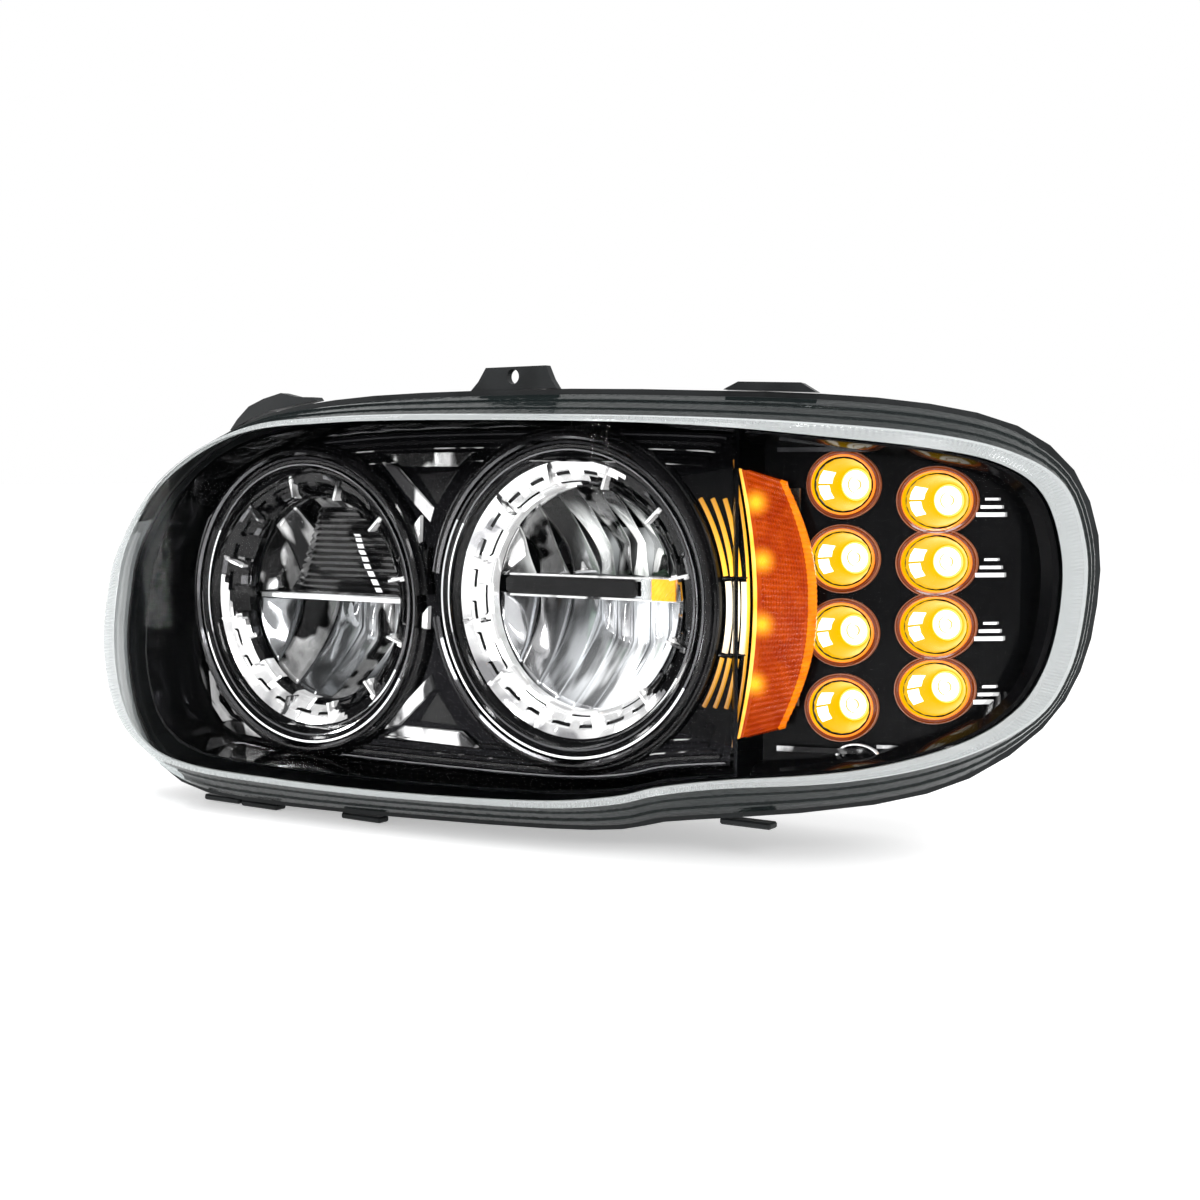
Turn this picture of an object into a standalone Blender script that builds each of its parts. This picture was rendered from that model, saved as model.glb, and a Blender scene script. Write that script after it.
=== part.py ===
"""Truck headlight assembly, driver's side: two round LED beams, a turn signal and a side marker.

Row frame: +X is outboard, -Y is forward (the way the beams point), +Z is up. The origin lies on the
housing's flat rear face, midway between the beams and level with the low beam.
Numbers below are millimetres. MM turns them into metres.
"""

import math

import bmesh
import bpy
from mathutils import Vector

MM = 0.001

# Driving sizes.
PULL = math.radians(24)  # the lens wraps round the corner, so its walls run back along this heading
LENS_DEPTH = 36
LENS_WALL = 3
HOUSING_WALL = 3
RECESS_Y, FLANGE_Y = -1.2, -0.9  # each fitting's flange sits in a recess in the rear face
SEAL_FRONT, SEAL_BACK = 36.3, 39.7
RIM_FRONT, RIM_BACK, NECK = 40, 46, 50
REAR_SCALE_X, REAR_SCALE_Z = 0.90, 0.86
REAR_CENTRE_X, REAR_CENTRE_Z = 45, -10

BEZEL_FACE_Y = -158
BEZEL_WALL = 2.5
BEZEL_EDGE_X = 222
RING_HOLE_R = 97.5
CLIP_COUNT = 12

BEAMS = {"high_beam": (-107, -8), "low_beam": (107, 0)}
DIVIDERS = {"high_beam": (-8, 4), "low_beam": (6.5, 9)}  # mid height and thickness
BOWL_FRONT_Y, BOWL_BACK_Y = -133, -78
CUT_GAP = 0.3
BOARD_THICKNESS = 2

PIVOT_Y, PIVOT_Z = -98.5, 0
PIN_R = 4.0
PIN_BORE_R = 4.06
CARRIER_FRONT_Y, CARRIER_BACK_Y = -101, -96

SCREW_Z = -88
SCREW_R = 5.0
NUT_BORE_R = 5.07

PANEL_DEPTH = 30
CUP_R = 15
CUP_WALL = 2
CUP_BACK = 20
COLUMN_X = (272, 319)
COLUMN_Z = ((70, 28, -14, -57), (61, 26, -10, -46))

# Lens front edge and lens flange: plan position along the lens face, and height.
FRONT_EDGE = [
    (-262, -45), (-256, -5), (-244, 25), (-210, 65), (-166, 92), (-115, 108), (-60, 112), (6, 113),
    (120, 111), (205, 108), (270, 104), (325, 98), (361, 88), (383, 70), (392, 36), (392, 0),
    (386, -36), (372, -62), (340, -82), (290, -95), (220, -103), (180, -110), (150, -118),
    (100, -124), (0, -127), (-100, -127), (-180, -124), (-225, -112), (-252, -86),
]
FLANGE_EDGE = [
    (-262, -50), (-257, -8), (-246, 26), (-214, 66), (-170, 96), (-118, 114), (-60, 122), (10, 125),
    (117, 125), (205, 122), (270, 119), (325, 113), (364, 101), (387, 77), (397, 40), (397, 0),
    (391, -38), (376, -70), (345, -97), (300, -112), (220, -124), (178, -130), (150, -137),
    (100, -141), (0, -144), (-100, -146), (-180, -144), (-225, -130), (-252, -98),
]
BEZEL_EDGE = [
    (222, 103), (205, 104.5), (120, 107.5), (6, 108), (-60, 106), (-112, 101), (-157, 86), (-190, 62),
    (-214, 25), (-224, -5), (-229, -45), (-224, -75), (-210, -98), (-175, -113), (-100, -117),
    (0, -117), (100, -115), (150, -109), (180, -101), (222, -95),
]

COLLECTION = "headlight_assembly"


# ---------------------------------------------------------------- scene helpers


def clear_scene():
    for obj in list(bpy.data.objects):
        bpy.data.objects.remove(obj, do_unlink=True)


def new_collection(name, hidden=False):
    made = bpy.data.collections.new(name)
    bpy.context.scene.collection.children.link(made)
    made.hide_render = hidden
    return made


def link(obj, collection):
    for old in list(obj.users_collection):
        old.objects.unlink(obj)
    collection.objects.link(obj)


def material(name, colour, roughness, metallic=0.0, alpha=1.0):
    made = bpy.data.materials.new(name)
    made.use_nodes = True
    shader = made.node_tree.nodes["Principled BSDF"]
    shader.inputs["Base Color"].default_value = (*colour, 1.0)
    shader.inputs["Roughness"].default_value = roughness
    shader.inputs["Metallic"].default_value = metallic
    shader.inputs["Alpha"].default_value = alpha
    made.diffuse_color = (*colour, alpha)
    return made


def as_part(obj, name, look, smooth=False):
    """Names the finished piece, gives it its material and puts it with the other pieces."""
    obj.name = name
    obj.data.name = name
    obj.data.materials.clear()
    obj.data.materials.append(material(name, *look))
    if smooth:
        for face in obj.data.polygons:
            face.use_smooth = True
    link(obj, PARTS)
    return obj


def as_cutter(obj, name):
    obj.name = name
    obj.hide_render = True
    obj.display_type = "WIRE"
    link(obj, CUTTERS)
    return obj


def boolean(target, tool, operation):
    """Adds a live Boolean. The tool stays in the scene as a hidden wire shape."""
    step = target.modifiers.new(f"{operation.lower()}_{tool.name}", "BOOLEAN")
    step.operation = operation
    step.solver = "EXACT"
    step.object = tool


# ---------------------------------------------------------------- shape helpers


def mesh_object(vertices, faces, name="shape"):
    data = bpy.data.meshes.new(name)
    data.from_pydata([Vector(v) * MM for v in vertices], [], faces)
    obj = bpy.data.objects.new(name, data)
    bpy.context.scene.collection.objects.link(obj)
    return obj


def face_outwards(obj):
    build = bmesh.new()
    build.from_mesh(obj.data)
    bmesh.ops.recalc_face_normals(build, faces=build.faces)
    build.to_mesh(obj.data)
    build.free()


def smooth_curve(points, closed=True, steps=2):
    """Catmull-Rom curve through the points, with steps samples to each span."""
    count = len(points)
    result = []
    for i in range(count if closed else count - 1):
        if closed:
            four = [points[(i + k) % count] for k in (-1, 0, 1, 2)]
        else:
            four = [points[min(max(i + k, 0), count - 1)] for k in (-1, 0, 1, 2)]
        a, b, c, d = (Vector(p) for p in four)
        for j in range(steps):
            t = j / steps
            cubic = (3 * (b - c) + d - a) * t + (2 * a - 5 * b + 4 * c - d)
            result.append(0.5 * ((cubic * t + (c - a)) * t + 2 * b))
    if not closed:
        result.append(Vector(points[-1]))
    return result


def grown(outline, amount):
    """The closed outline moved outwards by the amount, along its own normals."""
    count = len(outline)
    area = sum(
        outline[i].x * outline[(i + 1) % count].y - outline[(i + 1) % count].x * outline[i].y
        for i in range(count)
    )
    side = 1 if area > 0 else -1
    moved = []
    for i, point in enumerate(outline):
        along = (outline[(i + 1) % count] - outline[i - 1]).normalized()
        moved.append(point + Vector((along.y, -along.x)) * amount * side)
    return moved


def lens_front(x):
    """Y of the lens's outer face: a slow curve ahead of the beams, then an arc round the corner."""
    if x < 225:
        return -205 + (x + 200) ** 2 / 5000
    return 87.5 - math.sqrt(260**2 - (x - 181.6) ** 2)


def behind_lens(outline, depth):
    """The outline laid on the lens face and carried back along the pull heading."""
    back_x, back_y = -depth * math.sin(PULL), depth * math.cos(PULL)
    return [(p.x + back_x, lens_front(p.x) + back_y, p.y) for p in outline]


def scaled(outline, centre, share_x, share_z):
    return [
        Vector((centre[0] + (p.x - centre[0]) * share_x, centre[1] + (p.y - centre[1]) * share_z))
        for p in outline
    ]


def skin(rings, wrap=False, cap_start=False, cap_end=False):
    """Faces between neighbouring rings. wrap joins the last ring to the first."""
    count = len(rings[0])
    vertices = [point for ring in rings for point in ring]
    faces = []
    spans = len(rings) if wrap else len(rings) - 1
    for k in range(spans):
        low, high = k * count, ((k + 1) % len(rings)) * count
        for i in range(count):
            j = (i + 1) % count
            faces.append((low + i, low + j, high + j, high + i))
    if cap_start:
        faces.append(tuple(range(count)))
    if cap_end:
        last = (len(rings) - 1) * count
        faces.append(tuple(last + i for i in range(count)))
    return vertices, faces


def shell_of(rings, thickness, forward):
    """Thin wall: the rings are its outer side, and the material lies inside them."""
    obj = mesh_object(*skin(rings, cap_end=True))
    face_outwards(obj)
    wanted = Vector((0, -1, 0)) if forward else Vector((0, 1, 0))
    if obj.data.polygons[-1].normal.dot(wanted) < 0:
        obj.data.flip_normals()
    wall = obj.modifiers.new("wall", "SOLIDIFY")
    wall.thickness = thickness * MM
    wall.offset = -1
    wall.use_even_offset = True
    return obj


def box(low, high, bevel=0.0):
    corners = [(x, y, z) for x in (low[0], high[0]) for y in (low[1], high[1]) for z in (low[2], high[2])]
    faces = [(0, 1, 3, 2), (4, 6, 7, 5), (0, 4, 5, 1), (2, 3, 7, 6), (0, 2, 6, 4), (1, 5, 7, 3)]
    obj = mesh_object(corners, faces)
    face_outwards(obj)
    if bevel:
        rounding = obj.modifiers.new("rounding", "BEVEL")
        rounding.width = bevel * MM
        rounding.segments = 1
    return obj


def prism(outline, axis, low, high):
    """A flat outline carried from low to high along the axis. The outline's two numbers are the other two axes."""
    place = {
        "X": lambda a, b, c: (c, a, b),
        "Y": lambda a, b, c: (a, c, b),
        "Z": lambda a, b, c: (a, b, c),
    }[axis]
    count = len(outline)
    vertices = [place(a, b, end) for end in (low, high) for a, b in outline]
    faces = [tuple(range(count)), tuple(range(count, 2 * count))]
    for i in range(count):
        j = (i + 1) % count
        faces.append((i, j, count + j, count + i))
    obj = mesh_object(vertices, faces)
    face_outwards(obj)
    return obj


def disc(axis, centre, radius, low, high, sides=32, turn=0.5):
    """Cylinder along the axis. centre gives the two other coordinates."""
    outline = []
    for i in range(sides):
        angle = 2 * math.pi * (i + turn) / sides
        outline.append((centre[0] + radius * math.cos(angle), centre[1] + radius * math.sin(angle)))
    return prism(outline, axis, low, high)


def turned(profile, centre, steps=40):
    """Closed profile of (radius, Y) points turned about a line along Y through centre (X, Z)."""
    points = [(r, 0, -y) for r, y in profile]
    data = bpy.data.meshes.new("turned")
    count = len(points)
    data.from_pydata([Vector(p) * MM for p in points], [(i, (i + 1) % count) for i in range(count)], [])
    obj = bpy.data.objects.new("turned", data)
    bpy.context.scene.collection.objects.link(obj)
    screw = obj.modifiers.new("turn", "SCREW")
    screw.steps = steps
    screw.render_steps = steps
    screw.use_merge_vertices = True
    screw.merge_threshold = 0.01 * MM
    obj.rotation_euler = (math.pi / 2, 0, 0)
    obj.location = Vector((centre[0], 0, centre[1])) * MM
    return solidified(obj)


def solidified(obj):
    """The piece with its modifiers made real, in world position, faces outwards."""
    bpy.context.view_layer.update()
    graph = bpy.context.evaluated_depsgraph_get()
    data = bpy.data.meshes.new_from_object(obj.evaluated_get(graph))
    data.transform(obj.matrix_world)
    made = bpy.data.objects.new("solid", data)
    bpy.context.scene.collection.objects.link(made)
    bpy.data.objects.remove(obj, do_unlink=True)
    build = bmesh.new()
    build.from_mesh(made.data)
    bmesh.ops.remove_doubles(build, verts=build.verts, dist=0.002 * MM)
    bmesh.ops.recalc_face_normals(build, faces=build.faces)
    build.to_mesh(made.data)
    build.free()
    return made


def lead(points, radius):
    """Round cable through the points."""
    curve = bpy.data.curves.new("lead", "CURVE")
    curve.dimensions = "3D"
    curve.bevel_depth = radius * MM
    curve.bevel_resolution = 1
    curve.resolution_u = 4
    curve.use_fill_caps = True
    spline = curve.splines.new("BEZIER")
    spline.bezier_points.add(len(points) - 1)
    for knot, point in zip(spline.bezier_points, points):
        knot.co = Vector(point) * MM
        knot.handle_left_type = "AUTO"
        knot.handle_right_type = "AUTO"
    obj = bpy.data.objects.new("lead", curve)
    bpy.context.scene.collection.objects.link(obj)
    return solidified(obj)


# ---------------------------------------------------------------- lens, seal and housing


def build_lens():
    front = smooth_curve(FRONT_EDGE)
    flange = smooth_curve(FLANGE_EDGE)
    middle = (65, -8)
    shares = (0.12, 0.40, 0.66, 0.88)
    outside = [behind_lens(scaled(front, middle, share, share), 0) for share in shares]
    outside.append(behind_lens(grown(front, -1.5), 0.6))
    outside.append(behind_lens(grown(front, 1.0), 4))
    outside.append(behind_lens(flange, LENS_DEPTH))
    inside = [behind_lens(grown(flange, -LENS_WALL), LENS_DEPTH)]
    inside.append(behind_lens(grown(front, -2.5), 4.5))
    inside += [behind_lens(scaled(front, middle, share, share), LENS_WALL) for share in reversed(shares)]
    lens = mesh_object(*skin(outside + inside, cap_start=True, cap_end=True))
    face_outwards(lens)
    as_part(lens, "outer_lens", ((0.92, 0.94, 0.95), 0.03, 0.0, 0.25), smooth=True)


def build_seal():
    flange = smooth_curve(FLANGE_EDGE)
    rings = [
        behind_lens(grown(flange, -0.4), SEAL_FRONT),
        behind_lens(grown(flange, -0.4), SEAL_BACK),
        behind_lens(grown(flange, -4.4), SEAL_BACK),
        behind_lens(grown(flange, -4.4), SEAL_FRONT),
    ]
    seal = mesh_object(*skin(rings, wrap=True))
    face_outwards(seal)
    as_part(seal, "lens_seal", ((0.03, 0.03, 0.03), 0.75), smooth=False)


def rear_ring(neck, y, inset):
    ring = []
    for x, _, z in neck:
        out_x = REAR_CENTRE_X + (x - REAR_CENTRE_X) * REAR_SCALE_X
        out_z = REAR_CENTRE_Z + (z - REAR_CENTRE_Z) * REAR_SCALE_Z
        ring.append(Vector((out_x, out_z)))
    return [(p.x, y, p.y) for p in grown(ring, -inset)]


def build_housing():
    flange = smooth_curve(FLANGE_EDGE)
    neck = behind_lens(grown(flange, -3), NECK)
    rings = [
        behind_lens(grown(flange, -9), RIM_FRONT),
        behind_lens(grown(flange, 3), RIM_FRONT),
        behind_lens(grown(flange, 3), RIM_BACK),
        neck,
        rear_ring(neck, -8, 0),
        rear_ring(neck, 0, 7),
    ]
    housing = shell_of(rings, HOUSING_WALL, forward=False)
    boss = as_cutter(disc("X", (PIVOT_Y, PIVOT_Z), 9, -257.5, -232), "pin_boss")
    boolean(housing, boss, "UNION")
    holes = {
        "pin_bore": disc("X", (PIVOT_Y, PIVOT_Z), PIN_BORE_R, -254.8, -230),
        "bush_hole": disc("Y", (0, SCREW_Z), 7.3, -10, 10),
        "vent_hole": disc("Y", (150, 68), 4.3, -10, 10, sides=16),
        "inlet_hole": box((-162.5, -10, -66.5), (-137.5, 10, -53.5)),
        "bush_recess": disc("Y", (0, SCREW_Z), 11.6, RECESS_Y, 10),
        "vent_recess": disc("Y", (150, 68), 10.6, RECESS_Y, 10, sides=20),
        "inlet_recess": box((-170.6, RECESS_Y, -73.6), (-129.4, 10, -46.4)),
    }
    for i, (x, z) in enumerate(STUDS):
        holes[f"stud_hole_{i + 1}"] = disc("Y", (x, z), 4.3, -10, 10, sides=16)
    for name, hole in holes.items():
        boolean(housing, as_cutter(hole, name), "DIFFERENCE")
    as_part(housing, "rear_housing", ((0.025, 0.025, 0.027), 0.55), smooth=False)


# ---------------------------------------------------------------- bezels and rings


def build_main_bezel():
    edge = smooth_curve(BEZEL_EDGE, closed=False)
    middle = (0, -7)
    base = scaled(edge, middle, 0.978, 0.955)
    base_back = scaled(base, middle, 1.010, 1.023)
    edge_back = scaled(edge, middle, 1.009, 1.018)
    rim = [min(lens_front(p.x) + 12, BEZEL_FACE_Y - 4) for p in edge]
    rings = [
        [(p.x, BEZEL_FACE_Y, p.y) for p in base],
        [(p.x, y, p.y) for p, y in zip(edge, rim)],
        [(p.x, y + 0.5, p.y) for p, y in zip(edge_back, rim)],
        [(p.x, BEZEL_FACE_Y + BEZEL_WALL, p.y) for p in base_back],
    ]
    bezel = mesh_object(*skin(rings, cap_start=True, cap_end=True))
    face_outwards(bezel)
    for name, (x, z) in BEAMS.items():
        hole = as_cutter(disc("Y", (x, z), RING_HOLE_R, -185, -140, sides=48), f"{name}_opening")
        boolean(bezel, hole, "DIFFERENCE")
    as_part(bezel, "main_bezel", ((0.05, 0.05, 0.055), 0.18, 0.9), smooth=False)


RING_PROFILE = [
    (97, -153), (97, -162.5), (92, -164.5), (90, -157.5), (83.5, -156.5), (82, -150.5),
    (75.5, -149.5), (74, -144), (69, -142.5), (68.5, -139), (76, -139.5),
]


def build_ring(beam):
    x, z = BEAMS[beam]
    ring = turned(RING_PROFILE, (x, z), steps=40)
    for i in range(CLIP_COUNT):
        angle = 2 * math.pi * (i + 0.5) / CLIP_COUNT
        along = Vector((math.cos(angle), math.sin(angle)))
        across = Vector((-along.y, along.x)) * 3
        centre = Vector((x, z))
        outline = [centre + along * r + across * s for r, s in ((73, -1), (88.5, -1), (88.5, 1), (73, 1))]
        clip = prism([tuple(p) for p in outline], "Y", -158.6, -147)
        boolean(ring, as_cutter(clip, f"{beam}_clip_{i + 1}"), "UNION")
    look = ((0.06, 0.06, 0.065), 0.15, 0.9) if beam == "high_beam" else ((0.75, 0.76, 0.78), 0.08, 1.0)
    as_part(ring, f"{beam}_ring", look, smooth=False)


# ---------------------------------------------------------------- beam modules


BOWL_PROFILE = [
    (74, -133), (66.5, -121), (57.5, -108), (48, -95.5), (40.5, -86), (34.5, -78),
    (38, -78), (51.5, -95.5), (56, -101.3), (66, -101.3), (66, -104.3), (60, -104.3),
    (69.5, -121), (76.5, -132),
]


def build_reflectors(beam):
    x, z = BEAMS[beam]
    middle, thickness = DIVIDERS[beam]
    reach = 90
    for half, low, high in (
        ("upper", middle + thickness / 2 + CUT_GAP, z + reach),
        ("lower", z - reach, middle - thickness / 2 - CUT_GAP),
    ):
        bowl = turned(BOWL_PROFILE, (x, z), steps=32)
        keep = box((x - reach, -150, low), (x + reach, -60, high))
        boolean(bowl, as_cutter(keep, f"{beam}_{half}_half"), "INTERSECT")
        dark = beam == "high_beam" and half == "upper"
        look = ((0.10, 0.10, 0.11), 0.15, 0.9) if dark else ((0.86, 0.87, 0.89), 0.05, 1.0)
        as_part(bowl, f"{beam}_reflector_{half}", look, smooth=False)


def build_divider(beam):
    x, _ = BEAMS[beam]
    middle, thickness = DIVIDERS[beam]
    outline = [(-76, -132.5), (76, -132.5), (53, -101.6), (-53, -101.6)]
    if beam == "low_beam":
        outline = [(-76, -132.5), (38, -132.5), (38, -127), (72, -127), (53, -101.6), (-53, -101.6)]
    divider = prism([(x + a, b) for a, b in outline], "Z", middle - thickness / 2, middle + thickness / 2)
    look = ((0.80, 0.81, 0.83), 0.15, 1.0) if beam == "high_beam" else ((0.02, 0.02, 0.02), 0.25)
    as_part(divider, f"{beam}_divider", look)
    board = box(
        (x - 28, -101.2, middle - BOARD_THICKNESS / 2),
        (x + 28, -78.2, middle + BOARD_THICKNESS / 2),
    )
    as_part(board, f"{beam}_board", ((0.03, 0.16, 0.07), 0.5))


def build_position_light():
    x, _ = BEAMS["low_beam"]
    middle, thickness = DIVIDERS["low_beam"]
    window = box((x + 38.3, -132.5, middle - thickness / 2), (x + 71, -127.3, middle + thickness / 2))
    as_part(window, "position_light_window", ((0.95, 0.55, 0.15), 0.1))


def build_heat_sink(beam):
    x, z = BEAMS[beam]
    fins, pitch, thick = 8, 13, 3
    outline = [(x - 48, -77.7), (x + 48, -77.7)]
    for i in range(fins):
        left = x + 48 - thick - i * pitch * 93 / 91
        outline += [(left + thick, -42), (left, -42)]
        if i < fins - 1:
            outline += [(left, -72.7), (left + thick - pitch * 93 / 91, -72.7)]
    sink = prism(outline, "Z", z - 42, z + 42)
    as_part(sink, f"{beam}_heat_sink", ((0.30, 0.31, 0.32), 0.45, 0.9))


# ---------------------------------------------------------------- aiming


def build_carrier():
    plate = [
        (-217.5, -16), (-180, -62), (-14.5, -62), (-14.5, -97), (-7.6, -97), (-7.6, -79.5),
        (7.6, -79.5), (7.6, -97), (14.5, -97), (14.5, -62), (180, -62), (206, -16), (206, 16),
        (180, 62), (-180, 62), (-217.5, 16),
    ]
    carrier = prism(plate, "Y", CARRIER_FRONT_Y, CARRIER_BACK_Y)
    for name, low, high in (("inboard_lug", -228.5, -216.5), ("outboard_lug", 205, 217)):
        lug = box((low, PIVOT_Y - 7.5, -8), (high, PIVOT_Y + 7.5, 8))
        boolean(carrier, as_cutter(lug, name), "UNION")
        bore = disc("X", (PIVOT_Y, PIVOT_Z), PIN_BORE_R, low - 1, high + 1)
        boolean(carrier, as_cutter(bore, f"{name}_bore"), "DIFFERENCE")
    pin_way = disc("X", (PIVOT_Y, PIVOT_Z), 5.5, -216.8, -212)
    boolean(carrier, as_cutter(pin_way, "inboard_pin_way"), "DIFFERENCE")
    for beam, (x, z) in BEAMS.items():
        opening = disc("Y", (x, z), 57.5, -110, -90, sides=40)
        boolean(carrier, as_cutter(opening, f"{beam}_window"), "DIFFERENCE")
    as_part(carrier, "aim_carrier", ((0.08, 0.08, 0.085), 0.5))


def build_pivots():
    pin = disc("X", (PIVOT_Y, PIVOT_Z), PIN_R, -254.4, -217.5)
    as_part(pin, "pivot_pin_inboard", ((0.62, 0.62, 0.63), 0.3, 1.0))
    pin = disc("X", (PIVOT_Y, PIVOT_Z), PIN_R, 206.5, 226)
    head = disc("X", (PIVOT_Y, PIVOT_Z), 7, 223.3, 227)
    boolean(pin, as_cutter(head, "outboard_pin_head"), "UNION")
    as_part(pin, "pivot_pin_outboard", ((0.62, 0.62, 0.63), 0.3, 1.0))
    plan = [(219, -110), (223, -110), (223, -6.5), (245, -6.5), (245, -3.3), (219, -3.3)]
    bracket = prism(plan, "Z", -16, 16)
    bore = disc("X", (PIVOT_Y, PIVOT_Z), PIN_BORE_R, 215, 230)
    boolean(bracket, as_cutter(bore, "bracket_bore"), "DIFFERENCE")
    as_part(bracket, "pivot_bracket", ((0.45, 0.45, 0.46), 0.35, 1.0))


def build_adjuster():
    screw = turned(
        [(0.4, -113), (3.6, -113), (5, -111), (5, -7.6), (4, -7.4), (4, -5.2), (5, -5), (5, 5), (0.4, 5)],
        (0, SCREW_Z),
        steps=24,
    )
    core = disc("Y", (0, SCREW_Z), 2, -112, 4, sides=12)
    boolean(screw, as_cutter(core, "screw_core"), "UNION")
    head = disc("Y", (0, SCREW_Z), 10.5, 4, 15, sides=6)
    boolean(screw, as_cutter(head, "screw_head"), "UNION")
    as_part(screw, "adjuster_screw", ((0.70, 0.70, 0.71), 0.3, 1.0))
    clip = turned([(4.3, -5.4), (8.5, -5.4), (8.5, -7.2), (4.3, -7.2)], (0, SCREW_Z), steps=24)
    as_part(clip, "adjuster_clip", ((0.35, 0.35, 0.36), 0.4, 1.0))
    bush = turned(
        [(SCREW_R + 0.08, -5), (7, -5), (7, FLANGE_Y), (11, FLANGE_Y), (11, 3.4), (SCREW_R + 0.08, 3.4)],
        (0, SCREW_Z),
        steps=24,
    )
    as_part(bush, "adjuster_bush", ((0.85, 0.85, 0.82), 0.5))
    nut = box((-7.2, -105, SCREW_Z - 7.2), (7.2, -92, SCREW_Z + 7.2))
    for name, low, high in (("front", -104.6, -102.0), ("rear", -95.0, -92.4)):
        flange = box((-10.5, low, SCREW_Z - 8.5), (10.5, high, SCREW_Z + 8.5))
        boolean(nut, as_cutter(flange, f"nut_flange_{name}"), "UNION")
    bore = disc("Y", (0, SCREW_Z), NUT_BORE_R + 0.05, -110, -88, sides=24)
    boolean(nut, as_cutter(bore, "nut_bore"), "DIFFERENCE")
    as_part(nut, "adjuster_nut", ((0.90, 0.89, 0.84), 0.5))


# ---------------------------------------------------------------- turn signal and marker


def plan_slab(x_low, x_high, depth, thickness, spans=8):
    """Plan outline of a sheet that follows the lens face at a depth behind it."""
    xs = [x_low + (x_high - x_low) * i / spans for i in range(spans + 1)]
    front = [(x, lens_front(x) + depth) for x in xs]
    back = [(x, lens_front(x) + depth + thickness) for x in reversed(xs)]
    return front + back


def side_outline(outline, low_y, high_y):
    return prism(outline, "Y", low_y, high_y)


def build_turn_bezel():
    panel = prism(plan_slab(228, 376, PANEL_DEPTH, 3), "Z", -110, 110)
    outline = smooth_curve(
        [(228, 96), (300, 92), (342, 83), (364, 64), (371, 36), (371, -2), (366, -34), (348, -58),
         (300, -80), (228, -90)],
        closed=False,
    )
    boolean(panel, as_cutter(prism([tuple(p) for p in outline], "Y", -180, 20), "turn_panel_edge"), "INTERSECT")
    for column, x in enumerate(COLUMN_X):
        for row, z in enumerate(COLUMN_Z[column]):
            face = lens_front(x) + PANEL_DEPTH
            name = f"cup_{column + 1}_{row + 1}"
            outer = disc("Y", (x, z), CUP_R + CUP_WALL, face - 14, face + CUP_BACK, sides=18)
            boolean(panel, as_cutter(outer, f"{name}_wall"), "UNION")
    proud = prism(plan_slab(224, 382, 2, PANEL_DEPTH - 3), "Z", -120, 120)
    boolean(panel, as_cutter(proud, "cup_mouth_trim"), "DIFFERENCE")
    for column, x in enumerate(COLUMN_X):
        for row, z in enumerate(COLUMN_Z[column]):
            face = lens_front(x) + PANEL_DEPTH
            name = f"cup_{column + 1}_{row + 1}"
            inner = disc("Y", (x, z), CUP_R, face - 30, face + 30, sides=18)
            boolean(panel, as_cutter(inner, f"{name}_bore"), "DIFFERENCE")
    as_part(panel, "turn_bezel", ((0.05, 0.05, 0.055), 0.2, 0.9))


def build_turn_lenses():
    number = 0
    for column, x in enumerate(COLUMN_X):
        for z in COLUMN_Z[column]:
            number += 1
            back = lens_front(x) + PANEL_DEPTH + CUP_BACK
            puck = turned_cap(x, z, back)
            as_part(puck, f"turn_lens_{number}", ((0.95, 0.45, 0.05), 0.1), smooth=False)


def turned_cap(x, z, back):
    """Round LED optic at the bottom of a cup: a disc with a domed face."""
    radius = CUP_R - 0.4
    levels = [(radius, back), (radius, back - 3), (radius * 0.75, back - 5.2), (radius * 0.4, back - 6.4)]
    angles = [2 * math.pi * (i + 0.5) / 18 for i in range(18)]
    rings = [[(x + r * math.cos(a), y, z + r * math.sin(a)) for a in angles] for r, y in levels]
    cap = mesh_object(*skin(rings, cap_start=True, cap_end=True))
    face_outwards(cap)
    return cap


def build_turn_boards():
    for name, x, low, high in (("inner", COLUMN_X[0], -78, 90), ("outer", COLUMN_X[1], -66, 80)):
        front = lens_front(x) + PANEL_DEPTH + CUP_BACK + 0.3
        board = box((x - 15, front, low), (x + 15, front + BOARD_THICKNESS, high))
        as_part(board, f"turn_board_{name}", ((0.03, 0.16, 0.07), 0.5))


def build_reflex():
    slab = prism(plan_slab(226, 267, 11, 4, spans=5), "Z", -90, 90)
    outline = smooth_curve(
        [(226, 77), (240, 78.5), (253, 76), (261, 62), (265, 30), (266, 0), (264, -34), (254, -52),
         (240, -64), (226, -73)],
        closed=False,
    )
    boolean(slab, as_cutter(prism([tuple(p) for p in outline], "Y", -180, -100), "reflex_edge"), "INTERSECT")
    as_part(slab, "reflex_reflector", ((0.95, 0.40, 0.03), 0.15))
    board = prism(plan_slab(230, 252, 21, BOARD_THICKNESS, spans=3), "Z", -56, 68)
    as_part(board, "marker_board", ((0.03, 0.16, 0.07), 0.5))


# ---------------------------------------------------------------- driver, inlet, vent and leads


STUDS = [(-172, 30), (190, 52), (60, -88)]


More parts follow.
